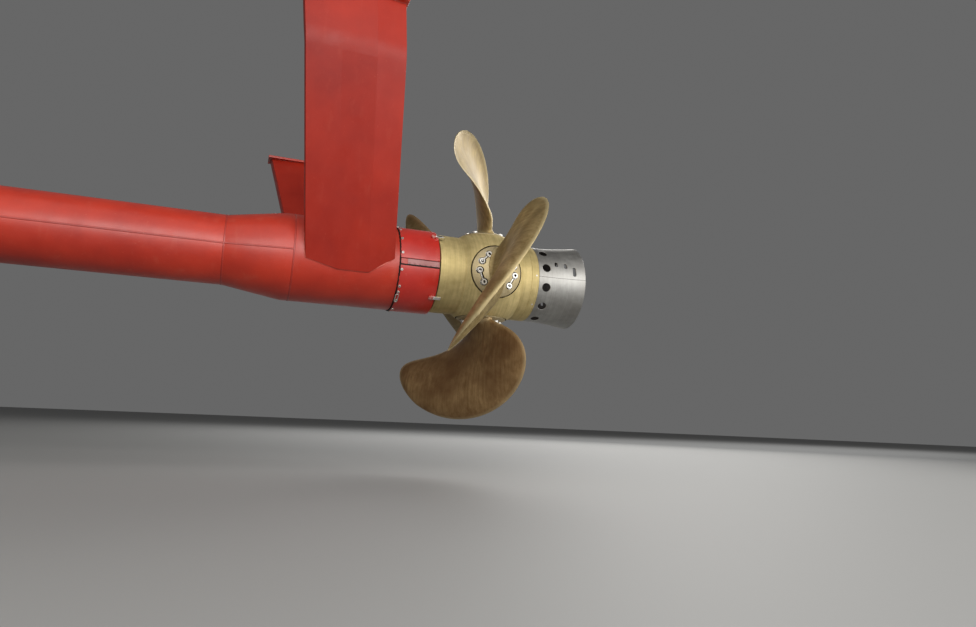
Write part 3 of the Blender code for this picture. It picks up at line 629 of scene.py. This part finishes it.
def cut_with(piece, cutter):
    """Cut a piece with another and remove the cutter."""
    modify(piece, "BOOLEAN", operation="DIFFERENCE", solver="EXACT", object=cutter)
    remove(cutter)
    return piece


def spindle_place(number):
    """Return the matrix that stands a piece made round +Z on a blade's spindle."""
    return Matrix.Translation(CENTRE) @ Matrix.Rotation(math.tau * number / len(BLADE_NAMES), 4, "X")


mouth = ball_height(PORT_RADIUS)
flare = PORT_RADIUS + HUB_BALL_RADIUS - mouth + PORT_CHAMFER
PORT_RINGS = [(PORT_RADIUS, SEAT_HEIGHT), (PORT_RADIUS, mouth - PORT_CHAMFER), (flare, HUB_BALL_RADIUS),
              (flare, HUB_BALL_RADIUS + PORT_CHAMFER)]
hub_body = put(lathe("hub_body_dressed", ball_rings(), HUB_SEGMENTS), ALONG_SHAFT)
for number in range(len(BLADE_NAMES)):
    cut_with(hub_body, put(lathe("port_cutter", PORT_RINGS, HUB_SEGMENTS), spindle_place(number)))


def in_port(face):
    """Tell whether a face belongs to a blade port's wall, which gets painted shade so that the seam reads
    dark.
    """
    on_ball = face.normal.dot((face.center - CENTRE).normalized()) > BALL_FACING
    for number in range(len(BLADE_NAMES)):
        spot = spindle_place(number).inverted() @ face.center
        near = math.hypot(spot.x, spot.y) < PORT_RADIUS + PORT_CHAMFER
        if near and spot.z > SEAT_HEIGHT - PORT_SLACK and not on_ball:
            return True
    return False


# The port walls get the near-black as painted shade, so the seam round each palm reads dark.
coat(smooth(hub_body, 25.0), HUB_BRONZE, PAINTED_SHADE_AND_GRIME, in_port)
hand_over(hub_body, "hub", "hub_bronze", None, "hub_body")
hub_disc("hub_forward_cylinder", -HUB_FORWARD_REACH, -HUB_CYLINDER_REACH)
hub_disc("hub_aft_cover", HUB_COVER_REACH, HUB_AFT_REACH)

# %% [markdown]
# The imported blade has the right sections, so its foil is taken from it: the palm is deleted, the triangles
# are paired into quads, the two edges get a crease, and a Subdivision Surface makes the rest flow. The root
# is sunk a little into the palm and closed.

# %% Blade foils
FOIL_SKIN = 0.0004
ROOT_SINK = 0.985
EDGE_SHARPNESS = 60.0
EDGE_CREASE = 0.6
ROOT_CREASE = 1.0
CREASE_LIMIT = 0.99
QUAD_FACE_ANGLE = 40.0
QUAD_SHAPE_ANGLE = 60.0
FOIL_LEVELS = 2


def foil_of(node):
    """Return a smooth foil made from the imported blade."""
    piece = merged_copy(node, node + "_foil")
    open_edit(piece, "FACE")
    inside = HUB_BALL_RADIUS + FOIL_SKIN
    choose(piece, "faces", lambda face: all((v.co - CENTRE).length < inside for v in face.verts))
    bpy.ops.mesh.delete(type="FACE")
    bpy.ops.mesh.select_all(action="SELECT")
    bpy.ops.mesh.tris_convert_to_quads(face_threshold=math.radians(QUAD_FACE_ANGLE),
                                       shape_threshold=math.radians(QUAD_SHAPE_ANGLE))
    bpy.ops.mesh.select_mode(type="EDGE")
    bpy.ops.mesh.select_all(action="DESELECT")
    bpy.ops.mesh.edges_select_sharp(sharpness=math.radians(EDGE_SHARPNESS))
    bpy.ops.transform.edge_crease(value=EDGE_CREASE)
    bpy.ops.mesh.select_all(action="DESELECT")
    bpy.ops.mesh.select_non_manifold()
    bpy.ops.transform.edge_crease(value=ROOT_CREASE)
    bpy.ops.mesh.extrude_region_move()
    bpy.ops.transform.resize(value=(ROOT_SINK,) * 3, center_override=CENTRE)
    bpy.ops.mesh.edge_face_add()
    close_edit()
    modify(piece, "SUBSURF", levels=FOIL_LEVELS, render_levels=FOIL_LEVELS)
    return smooth(piece, 50.0)


def mark_points(piece, place):
    """Store at each point its place in the blade's frame and its distance from the blade's edge."""
    shape = bmesh.new()
    shape.from_mesh(piece.data)
    crease = shape.edges.layers.float.get("crease_edge")
    rims = [(edge.verts[0].co + edge.verts[1].co) / 2 for edge in shape.edges
            if EDGE_CREASE / 2 < edge[crease] < CREASE_LIMIT]
    shape.free()
    tree = KDTree(len(rims))
    for number, spot in enumerate(rims):
        tree.insert(spot, number)
    tree.balance()
    back = place.inverted()
    reach = piece.data.attributes.new(EDGE_REACH, "FLOAT", "POINT")
    for vert in piece.data.vertices:
        reach.data[vert.index].value = min(tree.find(vert.co)[2] / EDGE_BAND, 1.0)
    own = piece.data.attributes.new(OWN_PLACE, "FLOAT_VECTOR", "POINT")
    for vert in piece.data.vertices:
        own.data[vert.index].vector = back @ vert.co
    print(piece.name, "has", len(rims), "rim edges")


# The lowest blade, blade_3, gets the darkened copy as painted shade, and the others the lightened one as
# painted light.
for number, node in enumerate(BLADE_NAMES):
    foil = foil_of(node)
    mark_points(foil, spindle_place(number))
    hand_over(foil, node, "blade_bronze", SHADED_BLADE_BRONZE if node == "blade_3" else LIT_BLADE_BRONZE, node)

# %% [markdown]
# Each blade stands on a round palm that fills its port: a slice of the same ball with an eased rim. Eight
# socket bolts in counterbores hold it down, and a locking bar ties them in pairs. The palm is turned and
# bored once, and each blade gets a copy.

# %% Palms
PALM_SEGMENTS = 128
PALM_RADIUS = 0.250
PALM_EASE = 0.003
PALM_SEAT = 0.360
CROWN_STEPS = 14
CROWN_EYE = 0.002
CUTTER_SEGMENTS = 48
BOLT_CIRCLE = 0.181
BOLT_AXIS = 87.2
BOLT_PAIRS = ((33.5, 66.3), (95.8, 134.3))
COUNTERBORE_RADIUS = 0.036
COUNTERBORE_FLOOR = 0.418
SLOT_FLOOR = 0.434
SLOT_HALF_WIDTH = 0.013
POCKET_DEPTH = 0.0015
POCKET_MARGIN = 0.01


def pair_angles():
    """Return the angles of the bolts of each locked pair, in the palm's own frame."""
    pairs = []
    for side in (1.0, -1.0):
        for first, second in BOLT_PAIRS:
            pairs.append(tuple(math.radians(BOLT_AXIS + side * angle) for angle in (first, second)))
    return pairs


def on_circle(angle, height):
    """Return a point on the bolt circle."""
    return Vector((BOLT_CIRCLE * math.cos(angle), BOLT_CIRCLE * math.sin(angle), height))


def palm_master():
    """Turn and bore one palm round +Z."""
    rim = PALM_RADIUS - PALM_EASE
    rings = [(rim, PALM_SEAT), (PALM_RADIUS, PALM_SEAT + PALM_EASE),
             (PALM_RADIUS, ball_height(PALM_RADIUS) - PALM_EASE)]
    rings += [(rim * (1 - step / CROWN_STEPS) + CROWN_EYE, 0.0) for step in range(CROWN_STEPS + 1)]
    rings = [(r, z or ball_height(r)) for r, z in rings]
    palm = lathe("palm_master", rings, PALM_SEGMENTS)
    deep = HUB_BALL_RADIUS - COUNTERBORE_FLOOR
    for pair in pair_angles():
        for angle in pair:
            bore = on_circle(angle, COUNTERBORE_FLOOR + deep / 2)
            cut_with(palm, added(bpy.ops.mesh.primitive_cylinder_add, "bore_cutter", location=bore,
                                 vertices=CUTTER_SEGMENTS, radius=COUNTERBORE_RADIUS, depth=deep))
        cut_with(palm, bar_between("slot_cutter", pair, SLOT_HALF_WIDTH, SLOT_FLOOR, HUB_BALL_RADIUS))
    return palm


def bar_between(name, pair, half_width, low, high):
    """Return a straight bar from bolt to bolt."""
    first, second = (on_circle(angle, (low + high) / 2) for angle in pair)
    run = second - first
    bar = added(bpy.ops.mesh.primitive_cube_add, name, size=1.0)
    bar.matrix_world = (Matrix.Translation((first + second) / 2)
                        @ Matrix.Rotation(math.atan2(run.y, run.x), 4, "Z")
                        @ Matrix.Diagonal((run.length, 2 * half_width, high - low, 1.0)))
    bpy.ops.object.transform_apply()
    return bar


def in_pocket(face):
    """Tell whether a face of the palm master lies in a bolt pocket, which gets painted shade with some grime.
    """
    reach = math.hypot(face.center.x, face.center.y)
    inner = reach < PALM_RADIUS - POCKET_MARGIN
    return inner and PALM_SEAT + POCKET_MARGIN < face.center.z < ball_height(reach) - POCKET_DEPTH


# The bolt pockets get the near-black: painted shade in the hollows, with some grime.
palm = coat(smooth(palm_master(), 25.0), PALM_BRONZE, PAINTED_SHADE_AND_GRIME, in_pocket)
for number, node in enumerate(BLADE_NAMES):
    hand_over(copy_to(palm, node + "_palm", spindle_place(number)), node, "blade_bronze", None)
remove(palm)

# %% [markdown]
# The palm bolts are socket-head screws on washers, and a flat bar is welded from head to head of each pair
# to lock them. A bolt is turned as one profile, washer and head together, and a six-sided cutter leaves its
# socket. Threads would never be seen, so there are none.

# %% Palm bolts and locking bars
BOLT_SEGMENTS = 40
SOCKET_DEPTH_SHARE = 0.55
SOCKET_REACH = 1.02
WASHER_SHARE = 0.11
WASHER_EDGE = 0.0005
HEAD_EASE_SHARE = 0.07
PALM_BOLT = dict(washer=0.0335, head=0.0290, height=0.038, socket=0.0155)
BAR_HALF_WIDTH = 0.006
BAR_FOOT = 0.4345
BAR_TOP = 0.4455
BAR_ROUNDING = 0.001
TACK_RADIUS = 0.0065
TACK_FLATNESS = 0.55


def socket_bolt(name, washer, head, height, socket):
    """Turn a socket-head bolt with its washer, standing on Z = 0."""
    thick = WASHER_SHARE * height
    ease = HEAD_EASE_SHARE * head
    rings = [(washer, 0.0), (washer, thick - WASHER_EDGE), (washer - WASHER_EDGE, thick), (head, thick),
             (head, height - ease), (head - ease, height)]
    bolt = lathe(name, rings, BOLT_SEGMENTS)
    cut_with(bolt, added(bpy.ops.mesh.primitive_cylinder_add, "socket_cutter", vertices=6, radius=socket,
                         depth=2 * (SOCKET_DEPTH_SHARE * height), location=(0.0, 0.0, height)))

    # The sockets get the near-black as painted shade in their hollows.
    def in_socket(face):
        reach = math.hypot(face.center.x, face.center.y)
        return thick < face.center.z < height - WASHER_EDGE and reach < SOCKET_REACH * socket

    return coat(smooth(bolt, 35.0), BOLT_STEEL, PAINTED_SHADE_AND_GRIME, in_socket)


def bolt_row(sizes, label, body, slot, places, finish=None):
    """Turn one bolt, hand over a numbered copy at each place and remove the first."""
    master = socket_bolt("bolt_master", **sizes)
    for number, place in enumerate(places):
        hand_over(copy_to(master, f"{label}_{number + 1}", place), body, slot, finish)
    remove(master)


def tack(place):
    """Model one small weld dot, flattened where it lies."""
    dot = added(bpy.ops.mesh.primitive_uv_sphere_add, "tack", segments=14, ring_count=8, radius=TACK_RADIUS)
    open_edit(dot, action="SELECT")
    bpy.ops.transform.resize(value=(1.0, 1.0, TACK_FLATNESS), center_override=(0.0, 0.0, 0.0))
    close_edit()
    return smooth(put(dot, place), 80.0)


def locking_bar(name, pair):
    """Model one locking bar with a weld at each end, in the palm's own frame."""
    bar = bar_between(name, pair, BAR_HALF_WIDTH, BAR_FOOT, BAR_TOP)
    first, second = (on_circle(angle, BAR_TOP) for angle in pair)
    run = (second - first).normalized() * PALM_BOLT["head"]
    modify(bar, "BEVEL", width=BAR_ROUNDING, segments=2)
    dots = [tack(Matrix.Translation(spot)) for spot in (first + run, second - run)]
    pick(bar)
    for dot in dots:
        dot.select_set(True)
    bpy.ops.object.join()
    return smooth(bar, 40.0)


spots = [on_circle(angle, COUNTERBORE_FLOOR) for pair in pair_angles() for angle in pair]
bars = [locking_bar("locking_bar", pair) for pair in pair_angles()]
for number, node in enumerate(BLADE_NAMES):
    stand = spindle_place(number)
    places = [stand @ Matrix.Translation(spot) @ Matrix.Rotation(count, 4, "Z")
              for count, spot in enumerate(spots)]
    bolt_row(PALM_BOLT, node + "_bolt", node, "blade_bronze", places)
    for count, bar in enumerate(bars):
        hand_over(copy_to(bar, f"{node}_bar_{count + 1}", stand), node, "blade_bronze", BOLT_STEEL)
for bar in bars:
    remove(bar)

# %% [markdown]
# The cap skirt is stainless plate in two halves, bolted to the hub's aft cover through an inner flange. The
# round holes give a spanner room. The whole ring is turned once, and each half is a copy bisected along the
# joint. Rods with a flared collar cut the holes and ease their rims in one go.

# %% Cap skirt
SKIRT_SEGMENTS = 168
SKIRT_START = 0.4663
SKIRT_NECK = 0.5963
SKIRT_MOUTH = 0.9593
SKIRT_FLARE = 0.042
STRAIGHT_SHARE = 0.4
SKIRT_WALL = 0.012
SKIRT_EASE = 0.002
SKIRT_STEPS = 14
FLANGE_INNER = 0.300
FLANGE_BACK = 0.4883
SPLIT_TILT = math.radians(-2.0)
SPLIT_GAP = 0.003
HOLE_COUNT = 12
HOLE_FIRST = 16.4
HOLE_ALONG = 0.549
HOLE_RADIUS = 0.043
LIP = 0.0035
ROD_FOOT = -0.05
ROD_TOP = 0.03
ROD_SLACK = 0.001
HALF_LINE = 0.0001
SMALL_SLOTS = ((0.660, 24.0, 0.0155, 0.026), (0.757, 22.0, 0.0155, 0.026), (0.845, 13.2, 0.0160, 0.066))


def skirt_radius(along):
    """Return the skirt's outer radius: a straight neck, then an even flare to the mouth."""
    share = max(0.0, (along - SKIRT_NECK) / (SKIRT_MOUTH - SKIRT_NECK))
    return HUB_BARREL_RADIUS + SKIRT_FLARE * (STRAIGHT_SHARE * share + (1 - STRAIGHT_SHARE) * share ** 2)


def skirt_rings():
    """Return the skirt's closed profile, out along the outer face and back along the inner one."""
    steps = [SKIRT_NECK + (SKIRT_MOUTH - SKIRT_NECK) * step / SKIRT_STEPS for step in range(SKIRT_STEPS)]
    rim = SKIRT_MOUTH - SKIRT_EASE
    outer = skirt_radius(rim)
    rings = [(FLANGE_INNER, FLANGE_BACK), (FLANGE_INNER, SKIRT_START),
             (HUB_BARREL_RADIUS - SKIRT_EASE, SKIRT_START), (HUB_BARREL_RADIUS, SKIRT_START + SKIRT_EASE)]
    rings += [(skirt_radius(x), x) for x in steps]
    rings += [(outer, rim), (outer - SKIRT_EASE, SKIRT_MOUTH),
              (outer - SKIRT_WALL + SKIRT_EASE, SKIRT_MOUTH), (outer - SKIRT_WALL, rim)]
    rings += [(skirt_radius(x) - SKIRT_WALL, x) for x in reversed(steps)]
    rings.append((HUB_BARREL_RADIUS - SKIRT_WALL, FLANGE_BACK))
    return rings


def round_place(along, degrees, radius):
    """Return the place on the shaft's round where +Z points outwards and +Y runs round it upwards."""
    return (Matrix.Translation(CENTRE) @ Matrix.Rotation(math.radians(90.0 - degrees), 4, "X")
            @ Matrix.Translation((along, 0.0, radius)))


def evenly(first, count):
    """Return angles in degrees, evenly spread round the shaft."""
    return [first + 360.0 * number / count for number in range(count)]


def split_half(master, name, upper):
    """Copy a turned ring and keep the half on one side of the tilted joint."""
    half = copy_to(master, name, Matrix.Identity(4))
    side = 1.0 if upper else -1.0
    normal = Matrix.Rotation(SPLIT_TILT, 3, "X") @ Vector((0.0, 0.0, side))
    open_edit(half, "FACE", "SELECT")
    bpy.ops.mesh.bisect(plane_co=CENTRE + normal * SPLIT_GAP / 2, plane_no=normal, use_fill=True,
                        clear_inner=True)
    close_edit()
    return half


def flared_rod(radius):
    """Turn a rod through Z = 0 whose upper part widens where it leaves that surface."""
    wide = radius + LIP + ROD_SLACK
    rings = [(radius, ROD_FOOT), (radius, -LIP), (wide, ROD_SLACK), (wide, ROD_TOP)]
    return lathe("hole_rod", rings, CUTTER_SEGMENTS)


def slotted_rod(radius, stretch):
    """Turn a rod and pull one half of it along Y, so that it cuts an upright slot."""
    rod = flared_rod(radius)
    open_edit(rod)
    choose(rod, "verts", lambda vert: vert.co.y > HALF_LINE)
    bpy.ops.transform.translate(value=(0.0, stretch / 2, 0.0))
    bpy.ops.mesh.select_all(action="INVERT")
    bpy.ops.transform.translate(value=(0.0, -stretch / 2, 0.0))
    close_edit()
    return rod


hole_angles = evenly(HOLE_FIRST, HOLE_COUNT)
ring = put(lathe("skirt_ring", skirt_rings(), SKIRT_SEGMENTS, closed=True), ALONG_SHAFT)
for name, upper in (("cap_skirt_upper", True), ("cap_skirt_lower", False)):
    half = split_half(ring, name + "_dressed", upper)
    for angle in hole_angles[:HOLE_COUNT // 2] if upper else hole_angles[HOLE_COUNT // 2:]:
        cut_with(half, put(flared_rod(HOLE_RADIUS), round_place(HOLE_ALONG, angle, HUB_BARREL_RADIUS)))
    for along, degrees, radius, stretch in SMALL_SLOTS:
        angle = degrees if upper else degrees + 180.0
        cut_with(half, put(slotted_rod(radius, stretch), round_place(along, angle, skirt_radius(along))))
    hand_over(smooth(half, 25.0), "hub", "stainless", STAINLESS, name)
remove(ring)

# %% [markdown]
# The insides of the skirt, tube and guard get painted shade. A near-black second material goes on the faces
# that look at the shaft line and on the walls of the cuts, where little light reaches. It makes the holes
# read dark.

# %% Painted shade on the insides
WALL_FACE = 0.000008
END_MARGIN = 0.006
INWARD = -0.5
SIDEWAYS = 0.4


def axis_distance(point):
    """Return a point's distance from the shaft line."""
    return math.hypot(point.y - CENTRE.y, point.z - CENTRE.z)


def inside_of(piece):
    """Return a test for faces that look at the shaft line, and for the walls of cuts and joints."""
    along = [vert.co.x for vert in piece.data.vertices]
    first, last = min(along) + END_MARGIN, max(along) - END_MARGIN

    def looks_inwards(face):
        outward = Vector((0.0, face.center.y - CENTRE.y, face.center.z - CENTRE.z)).normalized()
        facing = face.normal.dot(outward)
        wall = abs(facing) < SIDEWAYS and first < face.center.x < last and face.area > WALL_FACE
        return facing < INWARD or wall

    return looks_inwards


# The near-black on these inner faces and cut walls is painted shade.
for name in ("cap_skirt_upper", "cap_skirt_lower", "rope_guard_upper", "rope_guard_lower", "shaft_tube"):
    piece = bpy.data.objects[name + "_dressed"]
    coat(piece, piece.data.materials[0], PAINTED_SHADE_AND_GRIME, inside_of(piece))
    print("stained the inside of", piece.name)

# %% [markdown]
# Bolts hold the skirt's flange to the aft cover, one behind each round hole, and the end cap has a screwed
# plug. They face aft, so their places include a quarter turn. Small plugs in the aft cover face outwards.

# %% Bolts behind the skirt
FLANGE_BOLT = dict(washer=0.020, head=0.016, height=0.024, socket=0.008)
FLANGE_BOLT_CIRCLE = 0.338
END_PLUG = dict(washer=0.036, head=0.030, height=0.022, socket=0.013)
END_CAP_TOP = 0.5853
COVER_PLUG = dict(washer=0.0095, head=0.0085, height=0.004, socket=0.0042)
COVER_PLUG_ALONG = 0.437
COVER_PLUG_SINK = 0.001
COVER_PLUG_ANGLES = (2.3, -42.1, 92.3, 137.9, 182.3, 227.9)

# These bolts get the darker shaft steel instead of stainless: painted shade, for they sit in shade behind the
# holes.
places = [round_place(FLANGE_BACK, angle, FLANGE_BOLT_CIRCLE) @ FACING_AFT for angle in hole_angles]
bolt_row(FLANGE_BOLT, "skirt_bolt", "hub", "stainless", places, SHAFT_STEEL)
plug = put(socket_bolt("end_cap_plug", **END_PLUG),
           Matrix.Translation(CENTRE + Vector((END_CAP_TOP, 0.0, 0.0))) @ FACING_AFT)
hand_over(plug, "hub", "hub_bronze", HUB_BRONZE)
places = [round_place(COVER_PLUG_ALONG, angle, HUB_BARREL_RADIUS - COVER_PLUG_SINK)
          for angle in COVER_PLUG_ANGLES]
bolt_row(COVER_PLUG, "aft_cover_plug", "hub", "hub_bronze", places)

# %% [markdown]
# The rope guard is screwed to the bossing all round its forward edge. Its two halves are screwed to a strip
# behind each joint. The same bolt maker serves again, with smaller sizes.

# %% Rope guard fittings
GUARD_RADIUS = 0.410
GUARD_BOLT = dict(washer=0.0125, head=0.0110, height=0.009, socket=0.0050)
GUARD_BOLT_ALONG = -0.925
GUARD_BOLT_COUNT = 16
GUARD_BOLT_FIRST = 11.25
LINKED_BOLT_ANGLE = -42.4
STRIP_SCREW = dict(washer=0.0100, head=0.0090, height=0.004, socket=0.0035)
STRIP_RADIUS = 0.3977
STRIP_SCREW_START = -0.855
STRIP_SCREW_STEP = 0.052
STRIP_SCREW_COUNT = 6
STRIP_SCREW_ANGLE = -1.7

angles = evenly(GUARD_BOLT_FIRST, GUARD_BOLT_COUNT) + [LINKED_BOLT_ANGLE, 180.0 - LINKED_BOLT_ANGLE]
places = [round_place(GUARD_BOLT_ALONG, angle, GUARD_RADIUS) for angle in angles]
bolt_row(GUARD_BOLT, "guard_bolt", "strut", "stainless", places)
for side, angle in (("outboard", STRIP_SCREW_ANGLE), ("inboard", 180.0 - STRIP_SCREW_ANGLE)):
    places = [round_place(STRIP_SCREW_START + STRIP_SCREW_STEP * number, angle, STRIP_RADIUS)
              for number in range(STRIP_SCREW_COUNT)]
    bolt_row(STRIP_SCREW, side + "_strip_screw", "strut", "stainless", places, STRIP_PAINT)

# %% [markdown]
# One long link on the guard's lower side locks the last bolts. It is a small ring, one half of which is
# pulled away. The dark ring in the forward seam is sealant and painted shade: the sealant was laid by hand,
# so its ring is roughened a little, and its near-black stands for the shade in the seam. The four cutters
# are hard blocks, painted over at the foot, with a bright tip over the turning hub.

# %% Locking link, seam sealant and rope cutters
SEALANT_AND_SHADE_HALF_WIDTH = 0.008
SEALANT_AND_SHADE_RAGGED = 0.0035
SEALANT_AND_SHADE_EVENNESS = 0.6
SEALANT_AND_SHADE_SEED = 7
GUARD_FORWARD = -0.9437
BOSSING_RADIUS = 0.404
LINK_RADIUS = 0.013
LINK_ROD = 0.0045
LINK_STRETCH = 0.070
LINK_ALONG = -0.930
LINK_ANGLE = -52.0
CUTTER_COUNT = 4
CUTTER_FIRST = 45.0
CUTTER_EASE = 0.002
CUTTER_PIN_PLACES = (-0.612, -0.588)
CUTTER_PIN = dict(washer=0.0080, head=0.0070, height=0.003, socket=0.0032)
CUTTER_TOP = 0.4303

link = added(bpy.ops.mesh.primitive_torus_add, "guard_link", major_radius=LINK_RADIUS,
             minor_radius=LINK_ROD, major_segments=32, minor_segments=10)
open_edit(link)
choose(link, "verts", lambda vert: vert.co.y > HALF_LINE)
bpy.ops.transform.translate(value=(0.0, LINK_STRETCH, 0.0))
close_edit()
put(link, round_place(LINK_ALONG, LINK_ANGLE, GUARD_RADIUS + LINK_ROD)
    @ Matrix.Translation((0.0, -LINK_STRETCH / 2, 0.0)))
hand_over(smooth(link, 60.0), "strut", "stainless", BOLT_STEEL)

# This ring is sealant and painted shade: a near-black band in the guard's forward seam.
sealant_and_shade = added(bpy.ops.mesh.primitive_torus_add, "guard_sealant", major_radius=BOSSING_RADIUS,
                minor_radius=SEALANT_AND_SHADE_HALF_WIDTH, major_segments=168, minor_segments=10)
open_edit(sealant_and_shade, action="SELECT")
bpy.ops.transform.vertex_random(offset=SEALANT_AND_SHADE_RAGGED, uniform=SEALANT_AND_SHADE_EVENNESS, seed=SEALANT_AND_SHADE_SEED)
close_edit()
put(sealant_and_shade, Matrix.Translation((GUARD_FORWARD, 0.0, 0.0)) @ ALONG_SHAFT)
hand_over(smooth(sealant_and_shade, 60.0), "strut", "guard_paint", PAINTED_SHADE_AND_GRIME)

for number, angle in enumerate(evenly(CUTTER_FIRST, CUTTER_COUNT)):
    node = f"rope_cutter_{number + 1}"
    hand_over(rounded_copy(node, CUTTER_EASE), "strut", "stainless", CUTTER_STEEL, node)
    places = [round_place(along, angle, CUTTER_TOP) for along in CUTTER_PIN_PLACES]
    bolt_row(CUTTER_PIN, node + "_pin", "strut", "stainless", places, CUTTER_STEEL)

# %% [markdown]
# Welds hold the strut together: rings where tube, cone and bossing meet, and one seam along the tube and the
# cone. A ring is a torus pressed flat, and a seam is a rod pressed flat. The beads wear a darker red, painted
# shade for the dark lines beside them. The dark line below each joint strip is a painted shadow of the
# strip's edge, and is laid like a seam.

# %% Weld rings and seams
WELD_HALF_WIDTH = 0.008
WELD_RISE = 0.0028
TUBE_RADIUS = 0.316
CONE_FORWARD = -2.471
CONE_BREAK = -1.965
BOSSING_FORWARD = -1.890
TUBE_END = -4.821
SEAM_ANGLE = -1.2
STRIP_EDGE_ANGLE = 4.5
STRIP_EDGE_RADIUS = 0.4085
GUARD_AFT = -0.569
SEAM_MARGIN = 0.004


def weld_ring(name, along, radius):
    """Lay a flat bead round the shaft line."""
    ring = added(bpy.ops.mesh.primitive_torus_add, name, major_radius=radius,
                 minor_radius=WELD_HALF_WIDTH, major_segments=192, minor_segments=12)
    open_edit(ring)
    for vert in bmesh.from_edit_mesh(ring.data).verts:
        reach = math.hypot(vert.co.x, vert.co.y)
        fit = (radius + (reach - radius) * WELD_RISE / WELD_HALF_WIDTH) / reach
        vert.co.x *= fit
        vert.co.y *= fit
    bmesh.update_edit_mesh(ring.data)
    close_edit()
    return put(smooth(ring, 60.0), Matrix.Translation((along, 0.0, 0.0)) @ ALONG_SHAFT)


def weld_seam(name, start, end, angle):
    """Lay a straight flat bead between two (along, radius) points at one angle round the shaft."""
    run = math.hypot(end[0] - start[0], end[1] - start[1])
    slope = math.atan2(end[1] - start[1], end[0] - start[0])
    seam = added(bpy.ops.mesh.primitive_cylinder_add, name, vertices=12, radius=1.0, depth=run)
    seam.matrix_world = (round_place(start[0], angle, start[1]) @ Matrix.Rotation(-slope, 4, "Y")
                         @ FACING_AFT @ Matrix.Translation((0.0, 0.0, run / 2))
                         @ Matrix.Diagonal((WELD_RISE, WELD_HALF_WIDTH, 1.0, 1.0)))
    bpy.ops.object.transform_apply()
    return smooth(seam, 60.0)


tube_end = (TUBE_END + SEAM_MARGIN, TUBE_RADIUS)
cone_start = (CONE_FORWARD, TUBE_RADIUS)
lip_start = (CONE_BREAK, BOSSING_RADIUS)
lip_end = (BOSSING_FORWARD, BOSSING_RADIUS)
welds = [weld_ring("weld_tube_to_cone", *cone_start), weld_ring("weld_cone_to_bossing", *lip_end),
         weld_seam("weld_along_tube", tube_end, cone_start, SEAM_ANGLE),
         weld_seam("weld_along_cone", cone_start, lip_start, SEAM_ANGLE),
         weld_seam("weld_along_lip", lip_start, lip_end, SEAM_ANGLE)]
# The beads get the darker red as painted shade.
for weld in welds:
    hand_over(weld, "strut", "red_paint", SHADED_WELD_PAINT)
# Each joint strip gets a near-black bead below its lower edge: a painted shadow of the strip.
for side, angle in (("outboard", -STRIP_EDGE_ANGLE), ("inboard", 180.0 + STRIP_EDGE_ANGLE)):
    edge = weld_seam(f"{side}_strip_sealant", (GUARD_FORWARD, STRIP_EDGE_RADIUS),
                     (GUARD_AFT, STRIP_EDGE_RADIUS), angle)
    hand_over(edge, "strut", "guard_paint", PAINTED_SHADE_AND_GRIME)

# %% [markdown]
# A bead runs round each arm's foot and head. The one at the foot follows a curved saddle, so its path is
# taken from the arm's own edge, turned into a curve and given a round section. The head's bead is made the
# same way, round the level top.

# %% Beads round the arms
BEAD_RADIUS = 0.0055
SADDLE_SLACK = 0.0008
LEVEL = 0.999


def bead_on(node, name, test):
    """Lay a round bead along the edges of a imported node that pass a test."""
    source = merged_copy(node, name + "_source")
    open_edit(source, "EDGE")
    found = choose(source, "edges", test)
    bpy.ops.mesh.duplicate()
    bpy.ops.mesh.separate(type="SELECTED")
    close_edit()
    bead = next(item for item in bpy.context.selected_objects if item is not source)
    remove(source)
    pick(bead)
    bead.name = name
    bpy.ops.object.convert(target="CURVE")
    bead.data.bevel_depth = BEAD_RADIUS
    bead.data.bevel_resolution = 2
    bead.data.use_fill_caps = True
    bpy.ops.object.convert(target="MESH")
    print(name, "follows", found, "edges")
    return smooth(bead, 70.0)


def on_saddle(face):
    """Tell whether a face lies on the bossing."""
    return all(abs(axis_distance(vert.co) - BOSSING_RADIUS) < SADDLE_SLACK for vert in face.verts)


def on_top(face):
    """Tell whether a face is the level top of an arm."""
    return face.normal.z > LEVEL


def border_of(test):
    """Return a test for the edges between a face that passes and one that doesn't."""
    return lambda edge: len([face for face in edge.link_faces if test(face)]) == 1


for node in ("outboard_arm", "inboard_arm"):
    foot = bead_on(node, node + "_foot_weld", border_of(on_saddle))
    # The foot bead gets a paler, pinker red: a painted highlight for the sheen along it.
    hand_over(foot, "strut", "red_paint", FOOT_WELD_SHEEN_PAINT)
    head = bead_on(node, node + "_head_weld", border_of(on_top))
    hand_over(head, "strut", "red_paint", SHADED_WELD_PAINT)

# %% [markdown]
# Last, the scene is brought up to date.

# %% Update the scene
bpy.context.view_layer.update()
